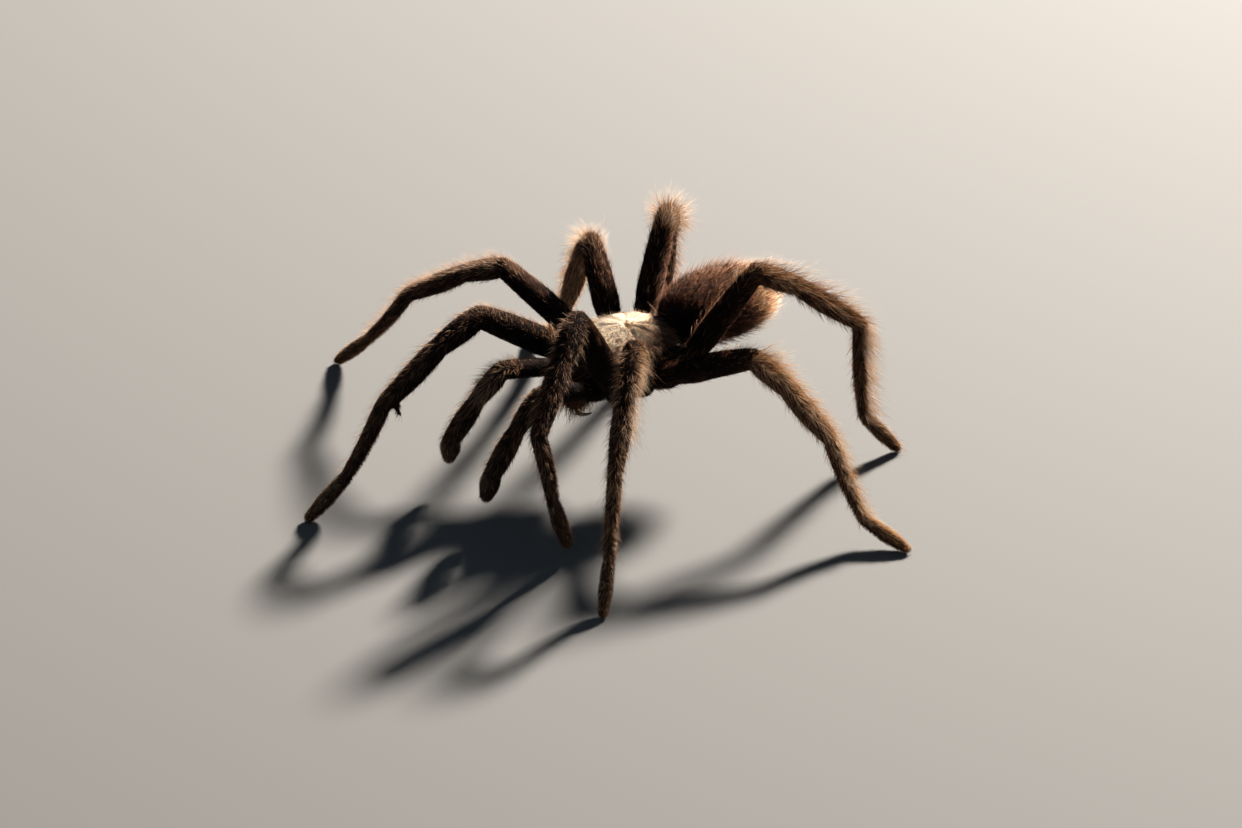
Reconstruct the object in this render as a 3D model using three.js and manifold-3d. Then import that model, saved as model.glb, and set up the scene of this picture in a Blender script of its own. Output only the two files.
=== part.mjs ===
// A mature male tarantula, walking: a still, life-size model in solid pieces.
// Millimetres, +Z up. It heads towards -Y, its left side is +X, its feet stand on Z = 0.
import * as THREE from 'three';
import { mergeVertices } from 'three/addons/utils/BufferGeometryUtils.js';
import Module from 'manifold-3d';

const wasm = await Module();
wasm.setup();

// ---------------------------------------------------------------- driving dimensions

const gap = 0.3;                       // parting cut between neighbouring pieces
const blockSize = 120;                 // cutting block, larger than the whole animal

const bodyPlace = [3.5, 5.6, 20.7];    // middle of the carapace, above the floor
const bodyPitch = 7;                   // degrees, head lower than tail
const bodyRoll = 2;                    // degrees, left side higher

const carapace = { halfWidth: 7.2, halfLength: 8.1, dome: 3.9, under: 0.7, rimHeight: 0.3 };
const eyeMound = { place: [0, -6.0, 3.9], size: [1.45, 1.05, 0.95] };
const sternum = { place: [0, -0.2, -4.2], size: [3.3, 4.5, 0.9] };
const chestCore = { radius: 2.6, stretch: 1.45, bottom: -4.3, top: -0.7 };
const labium = { place: [0, -5.0, -4.0], size: [1.3, 1.2, 0.9] };
const maxilla = { inner: [1.7, -4.6, -3.4], radius: 1.6 };
const abdomen = {
  place: [0, 17.1, 1.3], size: [6.3, 9.7, 5.9], belly: 0.9, blunt: 3.4, tilt: -6,
};
const pedicel = { front: [0, 6.9, -1.9], rear: [0, 11.0, 0.0], radius: 1.3 };   // the waist
const spinneret = { root: [1.1, 25.6, 0.6], tip: [1.9, 29.2, 1.8], radius: 0.55 };
const chelicera = { place: [1.95, -8.3, -1.9], size: [2.0, 4.6, 2.5], droop: 56 };
const fang = { root: [1.85, -10.2, -5.0], bend: [1.85, -9.9, -7.0], tip: [1.7, -7.4, -7.7], radius: 0.6 };

// Where each coxa meets the chest, and where the leg leaves it, on the left side.
const coxaRoots = {
  1: [2.3, -3.5, -2.9],
  2: [3.3, -1.2, -2.9],
  3: [3.3, 1.4, -2.9],
  4: [2.2, 3.7, -2.9],
};
const hips = {
  palp: [4.8, -8.6, -2.0],
  1: [8.0, -5.9, -2.0],
  2: [9.0, -1.7, -2.0],
  3: [9.0, 2.8, -2.0],
  4: [7.4, 7.0, -2.0],
};

// Lengths of femur with trochanter, patella, tibia, metatarsus and tarsus.
const limbLengths = {
  palp: [11.8, 5.9, 8.1, 3.6],
  1: [18.8, 7.8, 12.5, 12.4, 8.6],
  2: [18.1, 8.2, 12.8, 13.1, 8.2],
  3: [15.1, 7.1, 10.1, 13.4, 7.9],
  4: [18.7, 7.6, 12.5, 17.1, 8.5],
};
const limbThickness = { palp: 0.95, 1: 1.1, 2: 1.0, 3: 1.03, 4: 1.0 };
const coxaThickness = { 1: 1.0, 2: 1.0, 3: 1.05, 4: 1.2 };

// Outlines with the coat on: place along the piece from 0 to 1, and radius.
const outlines = {
  coxa: [[0, 1.9], [0.5, 2.6], [1, 2.25]],
  femur: [[0, 1.7], [0.1, 1.85], [0.32, 2.3], [0.7, 2.15], [1, 1.85]],
  palpFemur: [[0, 1.5], [0.4, 1.85], [1, 1.85]],
  patella: [[0, 1.85], [0.4, 2.0], [1, 1.75]],
  tibia: [[0, 1.75], [0.45, 1.85], [1, 1.45]],
  metatarsus: [[0, 1.4], [0.5, 1.3], [1, 1.1]],
  tarsus: [[0, 1.1], [0.55, 1.25], [1, 0.95]],
  palpTibia: [[0, 1.65], [0.5, 2.0], [1, 1.75]],
  palpTarsus: [[0, 1.75], [0.5, 1.8], [1, 1.4]],
};

const footHeight = 0.8;                // middle of a foot's rounded tip above the floor
const spur = { along: 0.86, reach: 3.3, turn: 25, radius: 0.5 };   // on the first tibiae

// The stance, in degrees. aim: the way the leg points, from straight out sideways (0) to
// straight ahead (90). lift: rise of the femur. lean: tip of the leg's own plane. knee,
// shin and ankle: bends down at the next three joints. foot: height of the foot's tip.
const stance = {
  left: {
    palp: { aim: 75, lift: 16, lean: 8, knee: 65, shin: 7, ankle: 22 },
    1: { aim: 54, lift: 60, lean: -7, knee: 88, shin: 10, ankle: 61, foot: 2.9 },
    2: { aim: 37, lift: 45, lean: 1, knee: 75, shin: 10, ankle: 28, foot: footHeight },
    3: { aim: -35, lift: 23, lean: 9, knee: 53, shin: 10, ankle: 20, foot: footHeight },
    4: { aim: -72, lift: 56, lean: -5, knee: 82, shin: 12, ankle: 48, foot: footHeight },
  },
  right: {
    palp: { aim: 94, lift: 15, lean: 16, knee: 68, shin: 10, ankle: 30 },
    1: { aim: 91, lift: 34, lean: 1, knee: 61, shin: 11, ankle: 21, foot: footHeight },
    2: { aim: 27, lift: 28, lean: 0, knee: 51, shin: 9, ankle: 20, foot: footHeight },
    3: { aim: -7, lift: 47, lean: -2, knee: 100, shin: 10, ankle: -10, foot: footHeight },
    4: { aim: -40, lift: 52, lean: -7, knee: 108, shin: 13, ankle: -16, foot: footHeight },
  },
};

// ---------------------------------------------------------------- finish of each piece

function finish(colour, roughness) {
  return new THREE.MeshStandardMaterial({ color: colour, roughness, metalness: 0 });
}

const finishes = {
  carapace: finish(0xb08a5c, 0.8),
  abdomen: finish(0x3a1d12, 0.85),
  femur: finish(0x1e120c, 0.75),
  shin: finish(0x4a2c1b, 0.8),
  foot: finish(0x5a3822, 0.8),
  mouth: finish(0x160d09, 0.6),
  chest: finish(0x20140e, 0.8),
};

// ---------------------------------------------------------------- points and directions

const up = new THREE.Vector3(0, 0, 1);
const radians = THREE.MathUtils.degToRad;

const bodyMatrix = new THREE.Matrix4().compose(
  new THREE.Vector3(...bodyPlace),
  new THREE.Quaternion().setFromEuler(new THREE.Euler(radians(bodyPitch), -radians(bodyRoll), 0)),
  new THREE.Vector3(1, 1, 1),
);

function bodyPoint([x, y, z], side = 1) {
  return new THREE.Vector3(side * x, y, z).applyMatrix4(bodyMatrix);
}

function between(a, b, share) {
  return a.clone().lerp(b, share);
}

function directionFrom(a, b) {
  return b.clone().sub(a).normalize();
}

// ---------------------------------------------------------------- solids

// A closed three.js geometry as a solid that can be cut and joined.
function solid(geometry, matrix = new THREE.Matrix4()) {
  const bare = geometry.clone().applyMatrix4(matrix);
  bare.deleteAttribute('normal');
  bare.deleteAttribute('uv');
  const welded = mergeVertices(bare, 1e-5);
  const corners = welded.index.array;
  const faces = [];
  for (let i = 0; i < corners.length; i += 3) {
    const [a, b, c] = [corners[i], corners[i + 1], corners[i + 2]];
    if (a !== b && b !== c && c !== a) faces.push(a, b, c);
  }
  return new wasm.Manifold(new wasm.Mesh({
    numProp: 3,
    vertProperties: new Float32Array(welded.attributes.position.array),
    triVerts: new Uint32Array(faces),
  }));
}

// A ball stretched to three half sizes, reshaped by an optional function, at a place.
function ball(place, size, sides = 16, rows = 10, reshape = null, matrix = bodyMatrix) {
  const geometry = new THREE.SphereGeometry(1, sides, rows);
  geometry.rotateX(Math.PI / 2);
  const spots = geometry.attributes.position;
  const spot = new THREE.Vector3();
  for (let i = 0; i < spots.count; i += 1) {
    spot.fromBufferAttribute(spots, i);
    if (reshape) reshape(spot);
    spot.multiply(new THREE.Vector3(...size)).add(new THREE.Vector3(...place));
    spots.setXYZ(i, spot.x, spot.y, spot.z);
  }
  return solid(geometry, matrix);
}

// A round piece from start to end with rounded tips; outline gives its radius on the way.
function roundPiece(start, end, outline, thickness = 1, sides = 8) {
  const length = start.distanceTo(end);
  const tipRows = 3;
  const first = outline[0][1] * thickness;
  const last = outline[outline.length - 1][1] * thickness;
  const rows = [new THREE.Vector2(0, -first)];
  for (let i = 1; i < tipRows; i += 1) {
    const angle = (i / tipRows) * (Math.PI / 2);
    rows.push(new THREE.Vector2(first * Math.sin(angle), -first * Math.cos(angle)));
  }
  for (const [along, radius] of outline) {
    rows.push(new THREE.Vector2(radius * thickness, along * length));
  }
  for (let i = tipRows - 1; i > 0; i -= 1) {
    const angle = (i / tipRows) * (Math.PI / 2);
    rows.push(new THREE.Vector2(last * Math.sin(angle), length + last * Math.cos(angle)));
  }
  rows.push(new THREE.Vector2(0, length + last));
  const turn = new THREE.Quaternion().setFromUnitVectors(
    new THREE.Vector3(0, 1, 0), directionFrom(start, end),
  );
  const matrix = new THREE.Matrix4().compose(start, turn, new THREE.Vector3(1, 1, 1));
  return solid(new THREE.LatheGeometry(rows, sides), matrix);
}

// Cuts away what lies past a plane, the way its normal points, and half the gap before it.
function cutPast(piece, point, normal) {
  const turn = new THREE.Quaternion().setFromUnitVectors(up, normal);
  const middle = point.clone().addScaledVector(normal, blockSize / 2 - gap / 2);
  const matrix = new THREE.Matrix4().compose(middle, turn, new THREE.Vector3(1, 1, 1));
  return piece.subtract(solid(new THREE.BoxGeometry(blockSize, blockSize, blockSize), matrix));
}

// Cuts away what would lie under the floor, which leaves a small flat.
function trimAtFloor(piece) {
  const down = up.clone().negate();
  return cutPast(piece, new THREE.Vector3(0, 0, -gap / 2), down);
}

// ---------------------------------------------------------------- limbs

// The joints of a palp or leg, from its hip to its tip, worked out from the stance.
function limbJoints(rank, sideName) {
  const side = sideName === 'left' ? 1 : -1;
  const pose = stance[sideName][rank];
  const aim = radians(pose.aim);
  const lean = radians(pose.lean);
  const outward = new THREE.Vector3(side * Math.cos(aim), -Math.sin(aim), 0);
  const rise = up.clone().multiplyScalar(Math.cos(lean))
    .addScaledVector(up.clone().cross(outward), Math.sin(lean));
  const joints = [bodyPoint(hips[rank], side)];
  const step = (angle, length) => {
    const next = joints[joints.length - 1].clone();
    next.addScaledVector(outward, Math.cos(angle) * length);
    next.addScaledVector(rise, Math.sin(angle) * length);
    joints.push(next);
  };
  let angle = radians(pose.lift);
  for (const [i, bend] of [0, pose.knee, pose.shin, pose.ankle].entries()) {
    angle -= radians(bend);
    step(angle, limbLengths[rank][i]);
  }
  if (rank === 'palp') return joints;
  // the tarsus slopes so that its tip comes to the foot's height, the nearer way round
  const length = limbLengths[rank][4];
  const drop = (joints[4].z - pose.foot) / (length * Math.cos(lean));
  const outSlope = -Math.asin(drop);
  const inSlope = -Math.PI - outSlope;
  step(Math.abs(outSlope - angle) < Math.abs(inSlope - angle) ? outSlope : inSlope, length);
  return joints;
}

// The normal of the parting plane at a bend: half way between the two directions.
function partingNormal(before, bend, after) {
  return directionFrom(before, bend).add(directionFrom(bend, after)).normalize();
}

// Round pieces along the joints, each parted from the last at the bend between them.
// before is the point that the limb comes from, ahead of its first joint. The bend at the
// joint numbered whole, if any, isn't parted, so that its two pieces can be joined.
function limbChain(before, joints, shapes, thickness, whole = -1) {
  const line = [before, ...joints];
  return shapes.map((shape, i) => {
    let piece = roundPiece(joints[i], joints[i + 1], outlines[shape], thickness);
    if (i !== whole) {
      piece = cutPast(piece, joints[i], partingNormal(...line.slice(i, i + 3)).negate());
    }
    if (i + 1 !== whole && i < shapes.length - 1) {
      piece = cutPast(piece, joints[i + 1], partingNormal(...line.slice(i + 1, i + 4)));
    }
    return piece;
  });
}

// The grown male's clasping spur, under the inner side of the first tibia.
function tibialSpur(joints, side) {
  const root = between(joints[2], joints[3], spur.along);
  const along = directionFrom(joints[2], joints[3]);
  const inward = new THREE.Vector3(0, 0, -1).cross(along).multiplyScalar(side).normalize();
  const below = along.clone().cross(inward).multiplyScalar(side).normalize();
  if (below.z > 0) below.negate();
  const turn = radians(spur.turn);
  const reach = below.multiplyScalar(Math.cos(turn)).addScaledVector(inward, Math.sin(turn));
  const tip = root.clone().addScaledVector(reach, spur.reach).addScaledVector(along, 0.6);
  return roundPiece(root, tip, [[0, spur.radius * 1.5], [1, spur.radius]], 1, 6);
}

// The upright plane half way between two neighbouring coxae, as a point and a normal.
function coxaParting(rank, nextRank, side) {
  const rootOf = (each) => (each === 'palp' ? maxilla.inner : coxaRoots[each]);
  const inner = between(bodyPoint(rootOf(rank), side), bodyPoint(rootOf(nextRank), side), 0.5);
  const outer = between(bodyPoint(hips[rank], side), bodyPoint(hips[nextRank], side), 0.5);
  const bodyUp = up.clone().transformDirection(bodyMatrix);
  const normal = directionFrom(inner, outer).cross(bodyUp).normalize();
  if (normal.dot(bodyPoint(rootOf(nextRank), side).sub(inner)) < 0) normal.negate();
  return { point: inner, normal };
}

// Cuts away what lies past the middle of the body, for a piece that has a mate on the
// other side.
function partAtMiddle(piece, side) {
  const across = new THREE.Vector3(-side, 0, 0).transformDirection(bodyMatrix);
  return cutPast(piece, bodyPoint([0, 0, 0]), across);
}

// ---------------------------------------------------------------- body pieces

function shapeCarapace(spot) {
  const front = Math.max(0, -spot.y);
  const rear = Math.max(0, spot.y);
  spot.x = Math.sign(spot.x) * Math.abs(spot.x) ** 0.9;
  spot.x *= 1 - 0.2 * front ** 1.5 - 0.12 * rear ** 3;
  const head = Math.exp(-(((spot.y + 0.55) / 0.4) ** 2) - (spot.x / 0.45) ** 2);
  if (spot.z > 0) {   // flatter on top than a ball, steeper at the rim
    spot.z *= Math.sqrt(2 - spot.z ** 2) * (carapace.dome + 0.5 * head);
  } else {
    spot.z *= carapace.under;
  }
}

function makeCarapace() {
  const size = [carapace.halfWidth, carapace.halfLength, 1];
  return ball([0, 0, carapace.rimHeight], size, 20, 10, shapeCarapace);
}

// The column of space that the carapace covers, from just under it upwards.
function overCarapace() {
  const size = [carapace.halfWidth + gap, carapace.halfLength + gap, 1];
  const low = carapace.rimHeight - gap;
  return ball([0, 0, low], size, 20, 10, (spot) => {
    shapeCarapace(spot);
    spot.z = spot.z > 0 ? spot.z * 3 : spot.z;
  });
}

// How much fuller than a ball the abdomen is towards its front end, which is blunt.
function bluntness(along) {
  if (along >= 0 || along < -0.999) return 1;
  const full = (1 - Math.abs(along) ** abdomen.blunt) ** (1 / abdomen.blunt);
  return full / Math.sqrt(1 - along * along);
}

function makeAbdomen() {
  const tilt = new THREE.Matrix4().makeRotationX(radians(abdomen.tilt));
  const place = new THREE.Matrix4().makeTranslation(...abdomen.place);
  const matrix = bodyMatrix.clone().multiply(place).multiply(tilt);
  let piece = ball([0, 0, 0], abdomen.size, 16, 10, (spot) => {
    const fullness = bluntness(spot.y);
    const deepness = spot.z < 0 ? abdomen.belly * (1 - 0.12 * spot.y) : 1 + 0.06 * spot.y;
    spot.x *= (1 + 0.1 * spot.y) * fullness;
    spot.z *= deepness * fullness;
  }, matrix);
  const waist = [[0, pedicel.radius], [1, pedicel.radius]];
  piece = piece.add(roundPiece(bodyPoint(pedicel.front), bodyPoint(pedicel.rear), waist, 1, 7));
  for (const side of [1, -1]) {
    const root = bodyPoint(spinneret.root, side);
    const tip = bodyPoint(spinneret.tip, side);
    const outline = [[0, spinneret.radius], [1, spinneret.radius * 0.7]];
    piece = piece.add(roundPiece(root, tip, outline, 1, 6));
  }
  return piece.subtract(overCarapace());
}

// The sternum, the flesh over it, the lower lip and the palps' coxae beside the mouth.
// grow makes the same shape a little larger, as a space that its neighbours keep clear of.
function makeChest(grow = 0) {
  let piece = ball(sternum.place, sternum.size.map((half) => half + grow), 12, 6);
  const height = chestCore.top - chestCore.bottom;
  const radius = chestCore.radius + grow;
  const core = new THREE.CylinderGeometry(radius, radius, height, 12);
  core.rotateX(Math.PI / 2);
  core.scale(1, chestCore.stretch, 1);
  core.translate(0, 0, (chestCore.top + chestCore.bottom) / 2);
  piece = piece.add(solid(core, bodyMatrix));
  piece = piece.add(ball(labium.place, labium.size.map((half) => half + grow), 8, 6));
  for (const sideName of ['left', 'right']) {
    const side = sideName === 'left' ? 1 : -1;
    const inner = bodyPoint(maxilla.inner, side);
    const joints = limbJoints('palp', sideName);
    const lobeRadius = maxilla.radius + grow;
    const outline = [[0, lobeRadius * 0.8], [0.5, lobeRadius], [1, lobeRadius]];
    let lobe = roundPiece(inner, joints[0], outline);
    if (grow === 0) {
      const parting = coxaParting('palp', 1, side);
      lobe = cutPast(lobe, joints[0], partingNormal(inner, joints[0], joints[1]));
      lobe = cutPast(lobe, parting.point, parting.normal);
    }
    piece = piece.add(lobe);
  }
  return piece.subtract(overCarapace());
}

function makeCoxa(rank, sideName) {
  const side = sideName === 'left' ? 1 : -1;
  const root = bodyPoint(coxaRoots[rank], side);
  const joints = limbJoints(rank, sideName);
  let piece = roundPiece(root, joints[0], outlines.coxa, coxaThickness[rank]);
  piece = cutPast(piece, joints[0], partingNormal(root, joints[0], joints[1]));
  const ahead = coxaParting(rank > 1 ? rank - 1 : 'palp', rank, side);
  piece = cutPast(piece, ahead.point, ahead.normal.negate());
  if (rank < 4) {
    const behind = coxaParting(rank, rank + 1, side);
    piece = cutPast(piece, behind.point, behind.normal);
  }
  piece = partAtMiddle(piece, side);
  return piece.subtract(overCarapace()).subtract(chestClearance);
}

// The basal block of a jaw with its fang folded back under it, clear of the palp beside it.
function makeChelicera(sideName) {
  const side = sideName === 'left' ? 1 : -1;
  const place = bodyPoint(chelicera.place, side);
  const droop = new THREE.Quaternion().setFromEuler(
    new THREE.Euler(radians(bodyPitch + chelicera.droop), 0, 0),
  );
  const matrix = new THREE.Matrix4().compose(place, droop, new THREE.Vector3(1, 1, 1));
  let piece = ball([0, 0, 0], chelicera.size, 10, 8, null, matrix);
  const root = bodyPoint(fang.root, side);
  const bend = bodyPoint(fang.bend, side);
  const tip = bodyPoint(fang.tip, side);
  piece = piece.add(roundPiece(root, bend, [[0, fang.radius], [1, fang.radius * 0.85]], 1, 6));
  piece = piece.add(roundPiece(bend, tip, [[0, fang.radius * 0.85], [1, 0.3]], 1, 6));
  piece = partAtMiddle(piece, side);
  const [hip, knee] = limbJoints('palp', sideName);
  const palpSpace = outlines.palpFemur.map(([along, radius]) => [along, radius + gap]);
  piece = piece.subtract(roundPiece(hip, knee, palpSpace, limbThickness.palp));
  return piece.subtract(overCarapace()).subtract(chestClearance);
}

const chestClearance = makeChest(gap);

// ---------------------------------------------------------------- the whole animal

const tarantula = new THREE.Group();
tarantula.name = 'tarantula';

function addPiece(name, piece, material) {
  const { vertProperties, triVerts } = piece.getMesh();
  const geometry = new THREE.BufferGeometry();
  geometry.setAttribute('position', new THREE.BufferAttribute(new Float32Array(vertProperties), 3));
  geometry.setIndex(new THREE.BufferAttribute(new Uint32Array(triVerts), 1));
  geometry.computeVertexNormals();
  const mesh = new THREE.Mesh(geometry, material);
  mesh.name = name;
  tarantula.add(mesh);
}

const carapaceSolid = makeCarapace();
const mound = ball(eyeMound.place, eyeMound.size, 10, 6);
const shinShapes = ['femur', 'patella', 'tibia', 'metatarsus', 'tarsus'];
const palpShapes = ['palpFemur', 'patella', 'palpTibia', 'palpTarsus'];

addPiece('carapace', carapaceSolid, finishes.carapace);
addPiece('eye_mound', mound.subtract(carapaceSolid.translate([0, 0, gap])), finishes.mouth);
addPiece('chest', makeChest(), finishes.chest);
addPiece('abdomen', makeAbdomen(), finishes.abdomen);

for (const sideName of ['left', 'right']) {
  const side = sideName === 'left' ? 1 : -1;
  addPiece(`chelicera_${sideName}`, makeChelicera(sideName), finishes.mouth);

  const palpJoints = limbJoints('palp', sideName);
  const palpRoot = bodyPoint(maxilla.inner, side);
  const palp = limbChain(palpRoot, palpJoints, palpShapes, limbThickness.palp, 2);
  addPiece(`palp_${sideName}_femur`, palp[0], finishes.femur);
  addPiece(`palp_${sideName}_shin`, palp[1].add(palp[2]), finishes.shin);
  addPiece(`palp_${sideName}_tarsus`, palp[3], finishes.foot);

  for (const rank of [1, 2, 3, 4]) {
    const joints = limbJoints(rank, sideName);
    const root = bodyPoint(coxaRoots[rank], side);
    const leg = limbChain(root, joints, shinShapes, limbThickness[rank]);
    if (rank === 1) leg[2] = leg[2].add(tibialSpur(joints, side));
    const name = `leg_${sideName}_${rank}`;
    addPiece(`${name}_coxa`, makeCoxa(rank, sideName), finishes.chest);
    addPiece(`${name}_femur`, leg[0], finishes.femur);
    addPiece(`${name}_patella`, leg[1], finishes.shin);
    addPiece(`${name}_tibia`, leg[2], finishes.shin);
    addPiece(`${name}_metatarsus`, leg[3], finishes.foot);
    addPiece(`${name}_tarsus`, trimAtFloor(leg[4]), finishes.foot);
  }
}

export default tarantula;
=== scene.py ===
from math import asin, cos, pi, radians, sin

import bmesh
import bpy
import numpy as np
from mathutils import Matrix, Vector


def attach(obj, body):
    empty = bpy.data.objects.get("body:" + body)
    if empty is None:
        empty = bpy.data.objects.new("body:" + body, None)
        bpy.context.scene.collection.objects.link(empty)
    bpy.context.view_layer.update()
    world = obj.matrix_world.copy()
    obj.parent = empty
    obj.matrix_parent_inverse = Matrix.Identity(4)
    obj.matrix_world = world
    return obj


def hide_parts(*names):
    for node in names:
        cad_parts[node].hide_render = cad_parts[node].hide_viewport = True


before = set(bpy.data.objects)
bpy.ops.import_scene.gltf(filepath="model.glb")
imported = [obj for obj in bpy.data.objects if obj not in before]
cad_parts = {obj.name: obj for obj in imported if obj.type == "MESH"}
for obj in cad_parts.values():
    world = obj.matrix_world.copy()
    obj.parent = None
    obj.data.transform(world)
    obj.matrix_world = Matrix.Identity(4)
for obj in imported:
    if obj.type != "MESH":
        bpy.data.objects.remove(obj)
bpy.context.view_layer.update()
mm = 0.001
scene = bpy.context.scene
sides = {"left": 1, "right": -1}

# how the animal stands, the same numbers as its solids

body = {"place": (3.5, 5.6, 20.7), "pitch": 7, "roll": 2}
hips = {
    "palp": (4.8, -8.6, -2.0),
    1: (8.0, -5.9, -2.0),
    2: (9.0, -1.7, -2.0),
    3: (9.0, 2.8, -2.0),
    4: (7.4, 7.0, -2.0),
}
coxaRoots = {
    "palp": (1.7, -4.6, -3.4),
    1: (2.3, -3.5, -2.9),
    2: (3.3, -1.2, -2.9),
    3: (3.3, 1.4, -2.9),
    4: (2.2, 3.7, -2.9),
}
limbLengths = {
    "palp": (11.8, 5.9, 8.1, 3.6),
    1: (18.8, 7.8, 12.5, 12.4, 8.6),
    2: (18.1, 8.2, 12.8, 13.1, 8.2),
    3: (15.1, 7.1, 10.1, 13.4, 7.9),
    4: (18.7, 7.6, 12.5, 17.1, 8.5),
}
limbThickness = {"palp": 0.95, 1: 1.1, 2: 1.0, 3: 1.03, 4: 1.0}
coxaThickness = {"palp": 1.0, 1: 1.0, 2: 1.0, 3: 1.05, 4: 1.2}
footHeight = 0.8
stance = {  # aim, lift, lean, knee, shin and ankle in degrees, then the foot's height
    "left": {
        "palp": (75, 16, 8, 65, 7, 22),
        1: (54, 60, -7, 88, 10, 61, 2.9),
        2: (37, 45, 1, 75, 10, 28, footHeight),
        3: (-35, 23, 9, 53, 10, 20, footHeight),
        4: (-72, 56, -5, 82, 12, 48, footHeight),
    },
    "right": {
        "palp": (94, 15, 16, 68, 10, 30),
        1: (91, 34, 1, 61, 11, 21, footHeight),
        2: (27, 28, 0, 51, 9, 20, footHeight),
        3: (-7, 47, -2, 100, 10, -10, footHeight),
        4: (-40, 52, -7, 108, 13, -16, footHeight),
    },
}

bodyMatrix = (
    Matrix.Translation(Vector(body["place"]) * mm)
    @ Matrix.Rotation(radians(body["pitch"]), 4, "X")
    @ Matrix.Rotation(-radians(body["roll"]), 4, "Y")
    @ Matrix.Diagonal((mm, mm, mm, 1))
)
bodyTurn = bodyMatrix.to_3x3().normalized()


def bodyPoint(place, side=1):
    return bodyMatrix @ Vector((side * place[0], place[1], place[2]))


def limbJoints(rank, sideName):
    side = sides[sideName]
    aim, lift, lean, knee, shin, ankle, *foot = stance[sideName][rank]
    up = Vector((0, 0, 1))
    outward = Vector((side * cos(radians(aim)), -sin(radians(aim)), 0))
    rise = up * cos(radians(lean)) + up.cross(outward) * sin(radians(lean))
    joints = [bodyPoint(hips[rank], side)]
    angle = radians(lift)
    for length, bend in zip(limbLengths[rank], (0, knee, shin, ankle)):
        angle -= radians(bend)
        joints.append(joints[-1] + (outward * cos(angle) + rise * sin(angle)) * length * mm)
    if foot:  # the last length slopes down to the foot's height, the nearer way round
        length = limbLengths[rank][4] * mm
        drop = (joints[-1].z - foot[0] * mm) / (length * cos(radians(lean)))
        slopes = (-asin(drop), -pi + asin(drop))
        slope = min(slopes, key=lambda each: abs(each - angle))
        joints.append(joints[-1] + (outward * cos(slope) + rise * sin(slope)) * length)
    return joints, outward.cross(rise)


# bones: the line, the back and the girth of each length of the body

coatDepth = {
    "coxa": 0.35, "femur": 0.3, "patella": 0.32, "tibia": 0.32, "metatarsus": 0.3, "tarsus": 0.24,
}
girths = {  # radius with the coat on, along each length
    "coxa": ((0, 1.9), (0.5, 2.6), (1, 2.25)),
    "femur": ((0, 1.7), (0.1, 1.85), (0.32, 2.3), (0.7, 2.15), (1, 1.85)),
    "palpFemur": ((0, 1.5), (0.4, 1.85), (1, 1.85)),
    "patella": ((0, 1.85), (0.4, 2.0), (1, 1.75)),
    "tibia": ((0, 1.75), (0.45, 1.85), (1, 1.45)),
    "metatarsus": ((0, 1.4), (0.5, 1.3), (1, 1.1)),
    "tarsus": ((0, 1.1), (0.55, 1.25), (1, 0.95)),
    "palpTibia": ((0, 1.65), (0.5, 2.0), (1, 1.75)),
    "palpTarsus": ((0, 1.75), (0.5, 1.8), (1, 1.4)),
}
legShapes = ("femur", "patella", "tibia", "metatarsus", "tarsus")
palpShapes = ("palpFemur", "patella", "palpTibia", "palpTarsus")
limbKinds = ("palp", "leg_1", "leg_2", "leg_3", "leg_4")
limbNames = [f"{kind}_{name}" for name in sides for kind in limbKinds]
parts = ("coxa", *legShapes, "sternum", "abdomen", "spinneret")
bodyRank = 9   # of a place that is on no limb; palps have 0, legs their own number


def findBones():
    found = []
    for limb, name in enumerate(limbNames):
        sideName = name.split("_")[-1]
        number = limb % len(limbKinds)
        rank = number or "palp"
        joints, across = limbJoints(rank, sideName)
        line = [bodyPoint(coxaRoots[rank], sides[sideName]), *joints]
        shapes = ("coxa", *(legShapes if number else palpShapes))
        for shape, start, end in zip(shapes, line, line[1:]):
            part = shape.replace("palpF", "f").replace("palpT", "t")
            found.append({
                "limb": limb, "rank": number, "side": sides[sideName], "part": parts.index(part),
                "shape": shape, "start": start, "end": end,
                "thickness": (coxaThickness if shape == "coxa" else limbThickness)[rank],
                "back": across.cross(end - start).normalized(),
            })
    return found


bones = findBones()
print("bones", len(bones))


# making meshes


def meshObject(name, mesh, material=None):
    piece = bpy.data.objects.new(name, mesh)
    scene.collection.objects.link(piece)
    if material:
        piece.data.materials.append(material)
    return piece


def objectFrom(name, shape, material=None, smooth=True):
    mesh = bpy.data.meshes.new(name)
    shape.to_mesh(mesh)
    shape.free()
    mesh.polygons.foreach_set("use_smooth", [smooth] * len(mesh.polygons))
    return meshObject(name, mesh, material)


def addTo(shape, other):
    carrier = bpy.data.meshes.new("carrier")
    other.to_mesh(carrier)
    other.free()
    shape.from_mesh(carrier)
    bpy.data.meshes.remove(carrier)


def applyModifiers(piece):
    depsgraph = bpy.context.evaluated_depsgraph_get()
    finished = bpy.data.meshes.new_from_object(piece.evaluated_get(depsgraph))
    old = piece.data
    piece.modifiers.clear()
    piece.data = finished
    bpy.data.meshes.remove(old)


def turned(profile, steps):
    shape = bmesh.new()
    verts = [shape.verts.new((radius, 0, height)) for radius, height in profile]
    edges = [shape.edges.new(pair) for pair in zip(verts, verts[1:])]
    bmesh.ops.spin(
        shape, geom=verts + edges, cent=(0, 0, 0), axis=(0, 0, 1), dvec=(0, 0, 0),
        angle=2 * pi, steps=steps, use_merge=True, use_normal_flip=False, use_duplicate=False,
    )
    bmesh.ops.remove_doubles(shape, verts=shape.verts, dist=1e-7)
    bmesh.ops.recalc_face_normals(shape, faces=shape.faces)
    return shape


def frameAlong(start, end, back):
    along = (end - start).normalized()
    across = back.cross(along).normalized()
    turn = Matrix((across, along.cross(across), along)).transposed()
    return Matrix.Translation(start) @ turn.to_4x4()


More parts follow.
